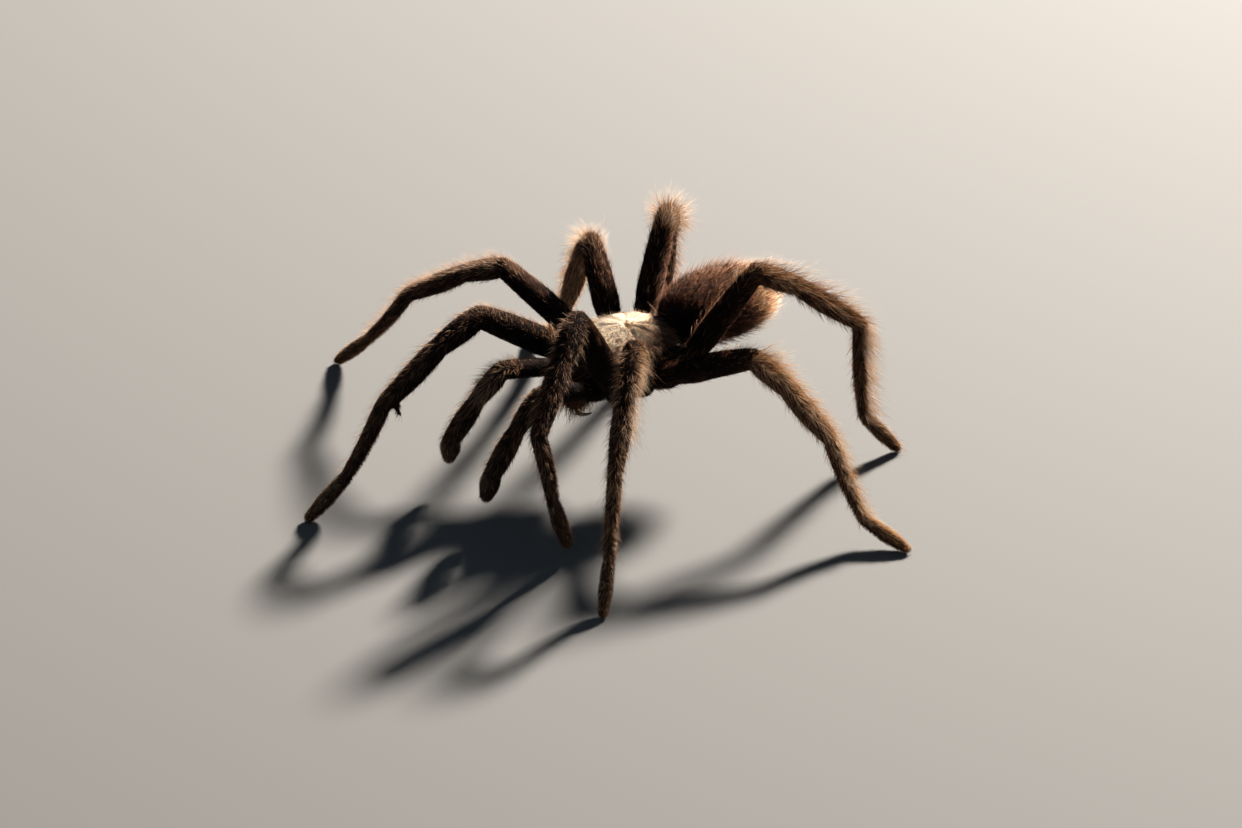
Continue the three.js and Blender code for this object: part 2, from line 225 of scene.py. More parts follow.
def unitBall(around=24, rows=14):
    shape = bmesh.new()
    bmesh.ops.create_uvsphere(shape, u_segments=around, v_segments=rows, radius=1)
    return shape


def bodyBall(place, size, around=24, rows=14):
    shape = unitBall(around, rows)
    matrix = bodyMatrix @ Matrix.Translation(place) @ Matrix.Diagonal((*size, 1))
    bmesh.ops.transform(shape, matrix=matrix, verts=shape.verts)
    return shape


def horn(shape, points, radii, around):
    # a round length through the points, closed at both ends, with its radii in mm
    tangents = [(b - a).normalized() for a, b in zip(points, points[1:])]
    placings = []
    for point, tangent, radius in zip(points, [*tangents, tangents[-1]], radii):
        turn = tangent.to_track_quat("Z", "X").to_matrix().to_4x4()
        placings.append(Matrix.Translation(point) @ turn @ Matrix.Scale(radius * mm, 4))
    ring = bmesh.ops.create_circle(
        shape, cap_ends=True, segments=around, radius=1, matrix=placings[0])["verts"]
    edges = [edge for edge in shape.edges if edge.verts[0] in ring and edge.verts[1] in ring]
    for before, after in zip(placings, placings[1:]):
        made = bmesh.ops.extrude_edge_only(shape, edges=edges)["geom"]
        ring = [each for each in made if isinstance(each, bmesh.types.BMVert)]
        edges = [each for each in made if isinstance(each, bmesh.types.BMEdge)]
        bmesh.ops.transform(shape, matrix=after @ before.inverted(), verts=ring)
    bmesh.ops.contextual_create(shape, geom=edges)
    bmesh.ops.recalc_face_normals(shape, faces=shape.faces)


def bodyHorn(shape, points, radii, around, side=1):
    horn(shape, [bodyPoint(point, side) for point in points], radii, around)


def roundOff(piece):
    smooth = piece.modifiers.new("round", "SUBSURF")
    smooth.levels = smooth.render_levels = 1


# the skin: every fleshy length in one piece, with soft folds at the joints

skinLook = {
    "voxel": 0.31 * mm, "smoothing": 4, "smoothFactor": 0.4,
    "stations": 16, "around": 18, "capRows": 5, "capWidth": 0.95,
    "fold": 0.07,        # how deep a joint is drawn in
    "foldReach": 0.6,    # mm along the limb
    # mm towards the back
    "bow": {"femur": 0.2, "palpFemur": 0.15, "tibia": -0.12, "metatarsus": -0.3},
}
trunkLook = {
    "balls": (  # place and half size, under the carapace, of the sternum and of the lower lip
        ((0, 0.2, -2.2), (4.6, 6.3, 1.9)), ((0, -0.2, -4.2), (3.0, 4.2, 0.65)),
        ((0, -5.0, -4.0), (1.1, 1.0, 0.65)),
    ),
    "waist": ((0, 5.5, -1.8), (0, 8.2, -1.2), (0, 11.0, 0.0)), "waistRadii": (1.2, 1.1, 1.5),
}
abdomenLook = {
    "place": (0, 17.1, 1.3), "size": (6.3, 9.7, 5.9), "tilt": -6, "depth": 0.5,
    "belly": 0.9, "blunt": 3.4,
    "stalk": (0, 7.0, -2.5),   # the hair on it runs back and outwards from here
}
abdomenMatrix = (
    bodyMatrix @ Matrix.Translation(abdomenLook["place"])
    @ Matrix.Rotation(radians(abdomenLook["tilt"]), 4, "X")
)
spinneretLook = {
    "root": (1.1, 25.6, 0.6), "tip": (1.9, 29.2, 1.8), "radius": 0.42,
    "rings": (  # share of the length, share of the radius
        (-0.15, 1.3), (0.3, 1.15), (0.34, 0.85), (0.62, 1.0), (0.66, 0.75), (0.96, 0.75),
        (1.0, 0.4),
    ),
    "small": ((0.45, 25.9, -0.5), (0.55, 27.0, -0.5)), "smallRadii": (0.32, 0.2),
}
spurLook = {
    "along": 0.86, "reach": 3.1, "turn": 25, "radius": 0.38, "taper": (1.7, 1.25, 0.95, 0.5),
    "prongs": ((0.15, 1.0), (-0.32, 0.8)),   # swing to the side, and size
}


def girthAt(shape, share):
    return np.interp(share, *zip(*girths[shape]))


def limbLength(bone):
    start, end, shape = bone["start"], bone["end"], bone["shape"]
    length = (end - start).length / mm
    depth = coatDepth[parts[bone["part"]]]
    rows, stations = skinLook["capRows"], skinLook["stations"]
    angles = [pi / 2 * i / rows for i in range(rows)]
    shares = [i / stations for i in range(stations + 1)]
    radii = [girthAt(shape, share) * bone["thickness"] - depth for share in shares]
    first, last = (max(0.3, radius) * skinLook["capWidth"] for radius in (radii[0], radii[-1]))
    profile = [(first * sin(angle), -first * cos(angle)) for angle in angles]
    for share, radius in zip(shares, radii):
        nearest = min(share, 1 - share) * length
        radius *= 1 - skinLook["fold"] * np.exp(-((nearest / skinLook["foldReach"]) ** 2))
        profile.append((radius, share * length))
    profile += [(last * sin(angle), length + last * cos(angle)) for angle in reversed(angles)]
    made = turned([(float(radius) * mm, float(height) * mm) for radius, height in profile],
                  skinLook["around"])
    bow = skinLook["bow"].get(shape, 0) * mm
    for vert in made.verts:
        vert.co.y += bow * sin(pi * min(1, max(0, vert.co.z / (length * mm))))
    bmesh.ops.transform(made, matrix=frameAlong(start, end, bone["back"]), verts=made.verts)
    return made


def addSpurs(shape):
    # the two prongs under each first tibia
    for bone in bones:
        if bone["rank"] != 1 or bone["shape"] != "tibia":
            continue
        along = (bone["end"] - bone["start"]).normalized()
        root = bone["start"].lerp(bone["end"], spurLook["along"])
        inward = Vector((0, 0, -1)).cross(along).normalized() * bone["side"]
        below = along.cross(inward).normalized()
        below *= -1 if below.z > 0 else 1
        turn = radians(spurLook["turn"])
        reach = (below * cos(turn) + inward * sin(turn)) * spurLook["reach"] * mm
        for swing, size in spurLook["prongs"]:
            way = reach * size + along * (0.6 + swing * 2.2) * mm + inward * swing * 1.5 * mm
            points = [root, root + way * 0.45, root + way * 0.8 + along * 0.15 * mm, root + way]
            radii = [spurLook["radius"] * size * each for each in spurLook["taper"]]
            horn(shape, points, radii, 10)


def bluntness(along):
    if along >= 0 or along < -0.999:
        return 1
    power = abdomenLook["blunt"]
    return (1 - abs(along) ** power) ** (1 / power) / (1 - along * along) ** 0.5


def makeSkin():
    shape = bmesh.new()
    for bone in bones:
        addTo(shape, limbLength(bone))
    addSpurs(shape)
    belly = unitBall(40, 28)
    for vert in belly.verts:  # blunt in front, a little wider and higher behind
        y, fullness = vert.co.y, bluntness(vert.co.y)
        deepness = abdomenLook["belly"] * (1 - 0.12 * y) if vert.co.z < 0 else 1 + 0.06 * y
        vert.co.x *= (1 + 0.1 * y) * fullness
        vert.co.z *= deepness * fullness
    half = [each - abdomenLook["depth"] for each in abdomenLook["size"]]
    place = abdomenMatrix @ Matrix.Diagonal((*half, 1))
    bmesh.ops.transform(belly, matrix=place, verts=belly.verts)
    addTo(shape, belly)
    for place, size in trunkLook["balls"]:
        addTo(shape, bodyBall(place, size))
    bodyHorn(shape, trunkLook["waist"], trunkLook["waistRadii"], 12)
    look = spinneretLook
    for side in sides.values():
        root, tip = bodyPoint(look["root"], side), bodyPoint(look["tip"], side)
        points = [root.lerp(tip, share) for share, _ in look["rings"]]
        horn(shape, points, [look["radius"] * each for _, each in look["rings"]], 10)
        bodyHorn(shape, look["small"], look["smallRadii"], 8, side)
    skin = objectFrom("skin", shape)
    remesh = skin.modifiers.new("remesh", "REMESH")
    remesh.mode = "VOXEL"
    remesh.voxel_size = skinLook["voxel"]
    remesh.use_smooth_shade = True
    smooth = skin.modifiers.new("smooth", "SMOOTH")
    smooth.iterations = skinLook["smoothing"]
    smooth.factor = skinLook["smoothFactor"]
    applyModifiers(skin)
    return skin


# where a point of the skin is on the body

boneStart, boneEnd, boneBack, boneLimb, boneRank, bonePart, boneSide = (
    np.array([bone[key] for bone in bones])
    for key in ("start", "end", "back", "limb", "rank", "part", "side")
)
boneLine = boneEnd - boneStart
boneLength = np.linalg.norm(boneLine, axis=1)
boneAlong = boneLine / boneLength[:, None]
boneAcross = np.cross(boneBack, boneAlong)
sameNext = np.append(boneLimb[1:] == boneLimb[:-1], False)
boneNext = np.arange(len(bones)) + sameNext
boneBefore = np.arange(len(bones)) - np.append(False, sameNext[:-1])
turnReach = 2.2     # mm over which the hair turns from one length's way to the next one's
stations = np.linspace(0, 1, 6)
boneGirth = np.array([[girthAt(bone["shape"], share) * bone["thickness"] * mm for share in stations]
                      for bone in bones])
intoBody = np.array(bodyMatrix.inverted())
intoAbdomen = np.array(abdomenMatrix.inverted())
bodyAxes = np.array(bodyTurn)          # columns are the body's right-left, length and height
regions = {  # on the body, in mm: reach to each side, front and rear, bottom and top
    "sternum": (3.2, -6.2, 8.5, -9, -0.2), "spinneret": (3.2, 25.4, 30, -4, 9),
}
waistRear = 8.2


def within(matrix, points):
    return points @ matrix[:3, :3].T + matrix[:3, 3]


def inRegion(low, name):
    out, front, rear, bottom, top = regions[name]
    x, y, z = low.T
    return (np.abs(x) < out) & (y > front) & (y < rear) & (z > bottom) & (z < top)


def inTheAbdomen(shares):
    # blunt in front, round behind, with a little to spare for the smoothed skin
    x, y, z = shares.T
    blunt = np.clip(1 - np.abs(y) ** abdomenLook["blunt"], 0, 1) ** (1 / abdomenLook["blunt"])
    full = np.where(y < 0, blunt, np.sqrt(np.clip(1 - y ** 2, 0, 1)))
    return (np.hypot(x, z) < full * 1.08 + 0.03) & (np.abs(y) < 1.02)


def locate(points):
    # limb, part, share of the length, and which way out of the limb each point lies
    best = np.full(len(points), 1e9)
    nearest = np.zeros(len(points), int)
    share = np.zeros(len(points))
    for i in range(len(bones)):
        offset = points - boneStart[i]
        clipped = np.clip(offset @ boneLine[i] / boneLength[i] ** 2, 0, 1)
        gap = np.linalg.norm(offset - clipped[:, None] * boneLine[i], axis=1)
        gap -= np.interp(clipped, stations, boneGirth[i])
        closer = gap < best
        best[closer], nearest[closer], share[closer] = gap[closer], i, clipped[closer]
    offset = points - boneStart[nearest]
    back = np.einsum("ij,ij->i", offset, boneBack[nearest])
    across = np.einsum("ij,ij->i", offset, boneAcross[nearest])
    away = np.maximum(np.hypot(back, across), 1e-9)
    reach, left = (each * boneLength[nearest] / mm for each in (share, 1 - share))
    toNext, toLast = (0.5 * (1 - ramp(each, 0, turnReach))[:, None] for each in (left, reach))
    along = boneAlong[nearest] * (1 - toNext - toLast)
    along += boneAlong[boneNext[nearest]] * toNext + boneAlong[boneBefore[nearest]] * toLast
    low = within(intoBody, points)
    spot = {
        "limb": boneLimb[nearest], "rank": boneRank[nearest], "part": bonePart[nearest],
        "share": share, "reach": reach, "left": left, "along": along, "body": low,
        "back": back / away, "across": across / away, "rear": across / away * boneSide[nearest],
        "turn": np.arctan2(across, back) / (2 * pi) + 0.5,
    }
    high = within(intoAbdomen, points)
    shares = high / np.array(abdomenLook["size"])
    abdomen = inTheAbdomen(shares) & (low[:, 1] > waistRear)
    sternum = inRegion(low, "sternum") & ~abdomen
    spinneret = inRegion(low, "spinneret") & ~abdomen
    for name, mask in (("sternum", sternum), ("abdomen", abdomen), ("spinneret", spinneret)):
        spot["part"][mask], spot["limb"][mask], spot["rank"][mask] = parts.index(name), -1, bodyRank
        spot["along"][mask] = bodyAxes[:, 1]
        spot["back"][mask] = spot["rear"][mask] = 0
    spot["along"][abdomen] = unit(low[abdomen] - np.array(abdomenLook["stalk"])) @ bodyAxes.T
    spot["turn"][abdomen] = np.arctan2(high[abdomen, 0], high[abdomen, 2]) / (2 * pi) + 0.5
    spot["back"][abdomen] = shares[abdomen, 2]
    spot["share"][abdomen] = np.clip(shares[abdomen, 1] * 0.5 + 0.5, 0, 1)
    out, front, rear, *_ = regions["sternum"]
    spot["share"][sternum] = np.clip((low[sternum, 1] - front) / (rear - front), 0, 1)
    spot["turn"][sternum] = np.clip(low[sternum, 0] / (2 * out) + 0.5, 0, 1)
    return spot


def isPart(spot, *names):
    return np.isin(spot["part"], [parts.index(name) for name in names])


def isLimb(spot, *names):
    return np.isin(spot["limb"], [limbNames.index(name) for name in names])


def perPart(table, spot, column):
    # a part that the table leaves out has no hairs of that kind
    values = [table.get(name, (0, 1, 40))[column] for name in parts]
    return np.array(values, float)[spot["part"]]


def perRank(spot, values, elsewhere=1.0):
    # values for palps, first, second legs and so on
    table = np.full(bodyRank + 1, elsewhere)
    table[:len(values)] = values
    return table[spot["rank"]]


def wavering(points, size, seed):
    # slow waves through space, about -1 to 1, so that neighbours share a lean and a tone
    rng = np.random.default_rng(seed)
    total = np.zeros(len(points))
    for _ in range(7):
        way = rng.normal(size=3)
        way *= 2 * pi / (size * mm) / np.linalg.norm(way) * rng.uniform(0.6, 1.6)
        total += np.sin(points @ way + rng.uniform(0, 2 * pi))
    return total / 2.2


def ramp(value, low, high):
    share = np.clip((value - low) / (high - low), 0, 1)
    return share * share * (3 - 2 * share)


def unit(vectors):
    return vectors / np.maximum(np.linalg.norm(vectors, axis=1), 1e-12)[:, None]


def uneven(rng, count, spread, least, most):
    return np.clip(1 + spread * rng.normal(size=count), least, most)


def readPoints(values, key="co"):
    points = np.empty(len(values) * 3)
    values.foreach_get(key, points)
    return points.reshape(-1, 3)


def writeValues(mesh, name, values):
    made = mesh.attributes.new(name, "FLOAT", "POINT")
    made.data.foreach_set("value", values.astype(np.float32))


# markings and painted light, the same for the skin and for the coat on it

paleAndWarm = {  # how pale, how much paler on the back (partly the coat's own tone, partly painted light), how warm
    "coxa": (0.06, 0.02, 0.3), "femur": (0.01, 0.03, 0.4), "patella": (0.09, 0.06, 0.42),
    "tibia": (0.1, 0.07, 0.45), "metatarsus": (0.14, 0.09, 0.45), "tarsus": (0.29, 0.08, 0.5),
    "sternum": (0.09, 0, 0.2), "abdomen": (0.0, 0, 0.3), "spinneret": (0.32, 0, 0.4),
}
markingAndLightLook = {
    # the pale shift for each leg is painted light and shade: third legs paler, palps and first legs
    # darker
    "legPaintedLight": (-0.05, -0.03, 0.02, 0.3, 0.08), "legWarm": (0.35, 0.4, 0.75),   # from the palps on
    "highlightLine": 0.36, "lineWidth": 0.25,      # a painted highlight down the back of the third legs
    # the pale joint ring is weaker on the first legs, as painted shade
    "rim": 0.1, "shadedFirstRim": 0.05, "stripe": 0.1, "knee": 0.1, "footWarm": 0.35, "waver": 0.03,
    "lungCovers": ((2.6, 12.6), (2.9, 15.6)), "lungPale": 0.22,
}


def kneeOf(spot):
    femur = isPart(spot, "femur") * np.exp(-((spot["left"] / 3.0) ** 2))
    return femur + isPart(spot, "patella") * np.exp(-((spot["reach"] / 4.0) ** 2))


def stripe(spot):
    # the smooth line down the back of each patella, which fades out along the tibia
    # on the left first leg it is wider, painted shade that darkens that leg's front
    wide = np.where(isLimb(spot, "leg_1_left"), 0.65, 0.33)
    middle = np.exp(-((spot["across"] / wide) ** 2)) * (spot["back"] > 0)
    patella = isPart(spot, "patella") * ramp(spot["reach"], 1.6, 3.2)
    tibia = isPart(spot, "tibia") * (1 - ramp(spot["share"], 0.1, 0.7))
    return middle * (patella + tibia * 0.8) * (spot["rank"] > 0) * (spot["rank"] != 3)


def markingsAndLight(points, spot):
    look = markingAndLightLook
    pale, backToneAndLight, warm = (perPart(paleAndWarm, spot, column) for column in range(3))
    back, rank = spot["back"], spot["rank"]
    onLeg, abdomen, tarsus = spot["limb"] >= 0, isPart(spot, "abdomen"), isPart(spot, "tarsus")
    outer = onLeg & ~isPart(spot, "coxa", "femur")
    # painted shade: the limbs darker underneath and on the sides, paler along the back as if lit
    # from above
    pale = pale * np.where(onLeg, 0.2 + 0.8 * ramp(back, -0.4, 0.5), 1)
    # painted light and shade, one amount for each leg
    pale = pale + outer * perRank(spot, look["legPaintedLight"], 0.0)
    warm = warm * perRank(spot, look["legWarm"])
    # a painted highlight line down the back of the third legs, whose outer lengths are warmer as
    # painted light
    line = (rank == 3) * outer * np.exp(-((spot["across"] / look["lineWidth"]) ** 2)) * (back > 0)
    pale = pale + look["highlightLine"] * line + backToneAndLight * ramp(back, 0.25, 0.95)
    warm = warm + 0.12 * line + 0.15 * (rank == 3) * outer
    # pale rings at the joints; weaker on the first legs, as painted shade
    rim = np.exp(-((spot["left"] - 0.35) / 0.3) ** 2) * (onLeg & ~isPart(spot, "coxa", "tarsus"))
    pale = pale + np.where(rank == 1, look["shadedFirstRim"], look["rim"]) * rim
    pale = pale - look["stripe"] * stripe(spot)
    pale = pale + look["knee"] * isPart(spot, "femur") * kneeOf(spot)
    warm = warm + tarsus * ramp(spot["share"], 0.55, 1.0) * (rank != 0) * look["footWarm"]
    pale = pale + look["waver"] * wavering(points, 3.5, 11)
    belly = abdomen * ramp(-back, 0.1, 0.8)
    # the rear and top of the abdomen: partly its own rusty hair, partly painted light from behind
    # and above
    rear = abdomen * ramp(spot["share"], 0.56, 0.86)
    top = abdomen * ramp(back, 0.8, 1.0)
    warm = warm + rear * 0.6 + top * 0.3 * (1 - rear)
    rearToneAndLight = (0.42 + 0.2 * ramp(-back, -0.5, 0.3)) * (1 - 0.45 * ramp(back, 0.4, 0.85))
    pale = pale + belly * 0.03 + rear * rearToneAndLight + top * 0.06
    for x, y in look["lungCovers"]:    # four paler lung covers under the abdomen
        near = np.hypot((np.abs(spot["body"][:, 0]) - x) / 1.5, (spot["body"][:, 1] - y) / 1.1)
        pale = pale + belly * look["lungPale"] * np.exp(-near ** 4)
    return np.clip(pale, 0, 1), np.clip(warm, 0, 1)


# finishes

coatColours = {  # from dark to pale, plain and rusty
    "plain": (
        (0.0, (0.0045, 0.0038, 0.0036)), (0.16, (0.021, 0.016, 0.0138)),
        (0.34, (0.078, 0.050, 0.037)), (0.58, (0.24, 0.155, 0.105)),
        (0.8, (0.52, 0.38, 0.27)), (1.0, (0.78, 0.65, 0.49)),
    ),
    "rusty": (
        (0.0, (0.0075, 0.0038, 0.0028)), (0.16, (0.038, 0.015, 0.0088)),
        (0.34, (0.135, 0.046, 0.019)), (0.58, (0.36, 0.135, 0.052)),
        (0.8, (0.62, 0.29, 0.13)), (1.0, (0.80, 0.50, 0.28)),
    ),
    "chance": 0.16,   # how far a hair's own chance moves it along them
}
coatLooks = {
    "shortCoat": {"tipLift": 0.045, "roughness": 0.7, "sheen": 0.0, "glow": 0.4},
    "velvet": {"tipLift": 0.1, "roughness": 0.65, "sheen": 0.15, "glow": 0.25},
}
hornLooks = {  # dark and light colour, roughness, grain and gloss
    "moundHorn": ((0.02, 0.012, 0.009), (0.06, 0.036, 0.024), 0.7, 900, 0.0),
    "darkEyeGloss": ((0.004, 0.004, 0.005), (0.01, 0.009, 0.009), 0.12, 2500, 1.0),
    "paleEyeGloss": ((0.3, 0.19, 0.09), (0.5, 0.38, 0.22), 0.12, 2500, 1.0),
    "fangHorn": ((0.006, 0.004, 0.004), (0.022, 0.009, 0.006), 0.2, 600, 0.6),
    "clawHorn": ((0.006, 0.005, 0.005), (0.02, 0.012, 0.009), 0.25, 1500, 0.6),
    "bulbHorn": ((0.03, 0.01, 0.005), (0.09, 0.03, 0.012), 0.25, 700, 0.6),
}


def node(tree, kind, place, inputs=None, **settings):
    made = tree.nodes.new(kind)
    made.location = place
    for name, value in settings.items():
        setattr(made, name, value)
    for name, value in (inputs or {}).items():
        made.inputs[name].default_value = value
    return made


def connect(tree, *pairs):
    for output, socket in pairs:
        tree.links.new(output, socket)


def colourRamp(tree, place, stops):
    made = node(tree, "ShaderNodeValToRGB", place)
    elements = made.color_ramp.elements
    while len(elements) < len(stops):
        elements.new(0.5)
    for element, (spot, colour) in zip(elements, stops):
        element.position = spot
        element.color = (*colour, 1)
    return made


def coatColourGroup():
    group = bpy.data.node_groups.new("coatColour", "ShaderNodeTree")
    for name in ("Pale", "Warm", "Chance"):
        group.interface.new_socket(name, in_out="INPUT", socket_type="NodeSocketFloat")
    group.interface.new_socket("Colour", in_out="OUTPUT", socket_type="NodeSocketColor")
    entry = node(group, "NodeGroupInput", (-700, 0))
    leave = node(group, "NodeGroupOutput", (500, 0))
    shift = node(group, "ShaderNodeMath", (-500, 100), {1: coatColours["chance"]},
                 operation="MULTIPLY_ADD")
    plain = colourRamp(group, (-250, 150), coatColours["plain"])
    rusty = colourRamp(group, (-250, -150), coatColours["rusty"])
    mix = node(group, "ShaderNodeMix", (200, 0), data_type="RGBA")
    connect(
        group, (entry.outputs["Chance"], shift.inputs[0]), (entry.outputs["Pale"], shift.inputs[2]),
        (shift.outputs[0], plain.inputs[0]), (shift.outputs[0], rusty.inputs[0]),
        (entry.outputs["Warm"], mix.inputs["Factor"]), (plain.outputs["Color"], mix.inputs["A"]),
        (rusty.outputs["Color"], mix.inputs["B"]), (mix.outputs["Result"], leave.inputs["Colour"]),
    )
    return group


coatColour = coatColourGroup()


def newMaterial(name, settings):
    material = bpy.data.materials.new(name)
    material.use_nodes = True
    shader = material.node_tree.nodes["Principled BSDF"]
    for socket, value in settings.items():
        shader.inputs[socket].default_value = value
    return material, material.node_tree, shader


def attribute(tree, name, height):
    return node(tree, "ShaderNodeAttribute", (-750, height), attribute_name=name).outputs["Fac"]


def coatMaterial(name):
    look = coatLooks[name]
    material, tree, shader = newMaterial(name, {
        "Roughness": look["roughness"], "Specular IOR Level": 0.03,
        "Sheen Weight": look["sheen"], "Sheen Roughness": 0.4, "Subsurface Weight": look["glow"],
        "Subsurface Radius": (1.0, 0.65, 0.45), "Subsurface Scale": 0.15 * mm,
    })
    group = node(tree, "ShaderNodeGroup", (-250, 200), node_tree=coatColour)
    lift = node(tree, "ShaderNodeMath", (-500, 300), {1: look["tipLift"]}, operation="MULTIPLY_ADD")
    connect(
        tree, (attribute(tree, "tip", 400), lift.inputs[0]),
        (attribute(tree, "pale", 250), lift.inputs[2]), (lift.outputs[0], group.inputs["Pale"]),
        (attribute(tree, "warm", 100), group.inputs["Warm"]),
        (attribute(tree, "chance", -50), group.inputs["Chance"]),
        (group.outputs["Colour"], shader.inputs["Base Color"]),
    )
    return material


def skinMaterial():
    # streaks along the body, from the drawn out place that each point carries
    material, tree, shader = newMaterial("skinUnderCoat", {
        "Roughness": 0.8, "Specular IOR Level": 0.02,
    })
    group = node(tree, "ShaderNodeGroup", (-250, 200), node_tree=coatColour)
    lie = node(tree, "ShaderNodeAttribute", (-1100, -200), attribute_name="lie")
    fine = node(tree, "ShaderNodeTexNoise", (-850, -100), {"Scale": 4.5, "Detail": 3})
    spread = node(tree, "ShaderNodeMath", (-500, -50), {1: 1.6, 2: -0.8}, operation="MULTIPLY_ADD")
    bump = node(tree, "ShaderNodeBump", (-250, -200), {"Strength": 0.7, "Distance": 0.12 * mm})
    connect(
        tree, (lie.outputs["Vector"], fine.inputs["Vector"]),
        (fine.outputs["Fac"], spread.inputs[0]), (spread.outputs[0], group.inputs["Chance"]),
        (fine.outputs["Fac"], bump.inputs["Height"]),
        (attribute(tree, "pale", 250), group.inputs["Pale"]),
        (attribute(tree, "warm", 100), group.inputs["Warm"]),
        (group.outputs["Colour"], shader.inputs["Base Color"]),
        (bump.outputs["Normal"], shader.inputs["Normal"]),
    )
    return material


def hornMaterial(name):
    dark, light, roughness, grain, gloss = hornLooks[name]
    material, tree, shader = newMaterial(name, {
        "Roughness": roughness, "Coat Weight": gloss, "Coat Roughness": 0.12,
    })
    place = node(tree, "ShaderNodeTexCoord", (-900, 0))
    noise = node(tree, "ShaderNodeTexNoise", (-700, 0), {"Scale": grain, "Detail": 4})
    colours = colourRamp(tree, (-450, 100), ((0.35, dark), (0.7, light)))
    bump = node(tree, "ShaderNodeBump", (-250, -200), {"Strength": 0.25, "Distance": 0.03 * mm})
    connect(
        tree, (place.outputs["Object"], noise.inputs["Vector"]),
        (noise.outputs["Fac"], colours.inputs[0]), (noise.outputs["Fac"], bump.inputs["Height"]),
        (colours.outputs["Color"], shader.inputs["Base Color"]),
        (bump.outputs["Normal"], shader.inputs["Normal"]),
    )
    return material


shortCoat, velvet, underCoat = coatMaterial("shortCoat"), coatMaterial("velvet"), skinMaterial()


# coat: hairs as thin spikes, joined from arrays

hairLook = {
    "lowest": 0.02,     # mm over the floor
    "swirl": 0.22, "swirlSize": 2.2,        # how far neighbours lean to one side together, and mm
    "bend": 0.45, "bendGirth": 0.72,        # where a bent hair bends, and its girth there
    "patch": 0.0015,    # size of a hair on the unwrap
}


def sortedTriangles(mesh):
    # a mesh's faces as triangles, sorted, because the operators don't always store them
    # in one order
    starts, totals = np.empty((2, len(mesh.polygons)), np.int32)
    mesh.polygons.foreach_get("loop_start", starts)
    mesh.polygons.foreach_get("loop_total", totals)
    loops = np.empty(len(mesh.loops), np.int32)
    mesh.loops.foreach_get("vertex_index", loops)
    faces = loops[starts[:, None] + np.arange(4) % totals[:, None]]
    lowest = faces.argmin(axis=1)[:, None]
    faces = np.take_along_axis(faces, (lowest + np.arange(4)) % 4, axis=1)
    triangles = np.concatenate([faces[:, [0, 1, 2]], faces[:, [0, 2, 3]]])
    a, b, c = triangles.T
    triangles = triangles[(a != b) & (b != c) & (c != a)]
    return triangles[np.lexsort(triangles.T)]


def scatter(mesh, density, seed):
    # roots spread evenly over a mesh, density to the square millimetre
    rng = np.random.default_rng(seed)
    corners = sortedTriangles(mesh)
    places = readPoints(mesh.vertices)
    facing = readPoints(mesh.vertex_normals, "vector")
    a, b, c = (places[corners[:, k]] for k in range(3))
    area = np.linalg.norm(np.cross(b - a, c - a), axis=1) / 2
    count = int(area.sum() / mm ** 2 * density)
    chosen = rng.choice(len(area), count, p=area / area.sum())
    u, v = rng.random(count), rng.random(count)
    over = u + v > 1
    u[over], v[over] = 1 - u[over], 1 - v[over]
    weights = np.stack([1 - u - v, u, v], 1)
    roots = np.einsum("ij,ijk->ik", weights, places[corners[chosen]])
    normals = np.einsum("ij,ijk->ik", weights, facing[corners[chosen]])
    return roots, normals / np.linalg.norm(normals, axis=1)[:, None], rng


def only(spot, mask):
    return {name: values[mask] for name, values in spot.items()}


def leaning(normals, along, lift, rng, jitter, points, seed):
    # the way each hair points: along the body, lifted off it by an angle in degrees
    flat = unit(along - np.einsum("ij,ij->i", along, normals)[:, None] * normals)
    swirl = wavering(points, hairLook["swirlSize"], seed) * hairLook["swirl"]
    swirl = swirl + rng.normal(size=len(points)) * jitter
    flat = unit(flat + np.cross(normals, flat) * swirl[:, None])
    angle = (np.radians(lift) * (1 + rng.normal(size=len(points)) * jitter))[:, None]
    return unit(flat * np.cos(angle) + normals * np.sin(angle)), flat


def hairs(roots, first, second, length, width, sunk):
    # bent hairs have a ring part way, straight ones, with no second way, a root and a tip
    count = len(roots)
    length, width, sunk = (np.full(count, each)[:, None] * mm for each in (length, width, sunk))
    guide = np.where(np.abs(first[:, 2:3]) < 0.9, np.array([[0.0, 0, 1]]), np.array([[1.0, 0, 0]]))
    e1 = unit(np.cross(guide, first))
    e2 = np.cross(first, e1)
    root = roots - first * sunk
    rings = [(root, 1.0, 0.0, 1.0)]     # place, girth, share of the hair, size on the unwrap
    if second is None:
        tip = root + first * length
    else:
        bend = hairLook["bend"]
        middle = root + first * (length * bend)
        tip = middle + second * (length * (1 - bend))
        rings.append((middle, hairLook["bendGirth"], bend, 0.5))
    around = [(cos(2 * pi * k / 3), sin(2 * pi * k / 3)) for k in range(3)]
    verts = [centre + (e1 * x + e2 * y) * (width * girth / 2)
             for centre, girth, _, _ in rings for x, y in around]
    verts = np.stack([*verts, tip], 1)
    verts[:, :, 2] = np.maximum(verts[:, :, 2], hairLook["lowest"] * mm)
    tips = [up for _, _, up, _ in rings for _ in around] + [1.0]
    patch = [(x * size, y * size) for *_, size in rings for x, y in around] + [(0, 0)]
    last = 3 * len(rings) - 3
    faces = [(0, 2, 1)]
    for k in range(3):
        after = (k + 1) % 3
        if last:
            faces += [(k, after, 3 + k), (after, 3 + after, 3 + k)]
        faces.append((last + k, last + after, last + 3))
    starts = (np.arange(count) * len(tips))[:, None, None]
    return {
        "verts": verts.reshape(-1, 3), "faces": (np.array(faces)[None] + starts).reshape(-1, 3),
        "each": len(tips), "tip": np.tile(tips, count), "patch": np.tile(patch, (count, 1)),
    }


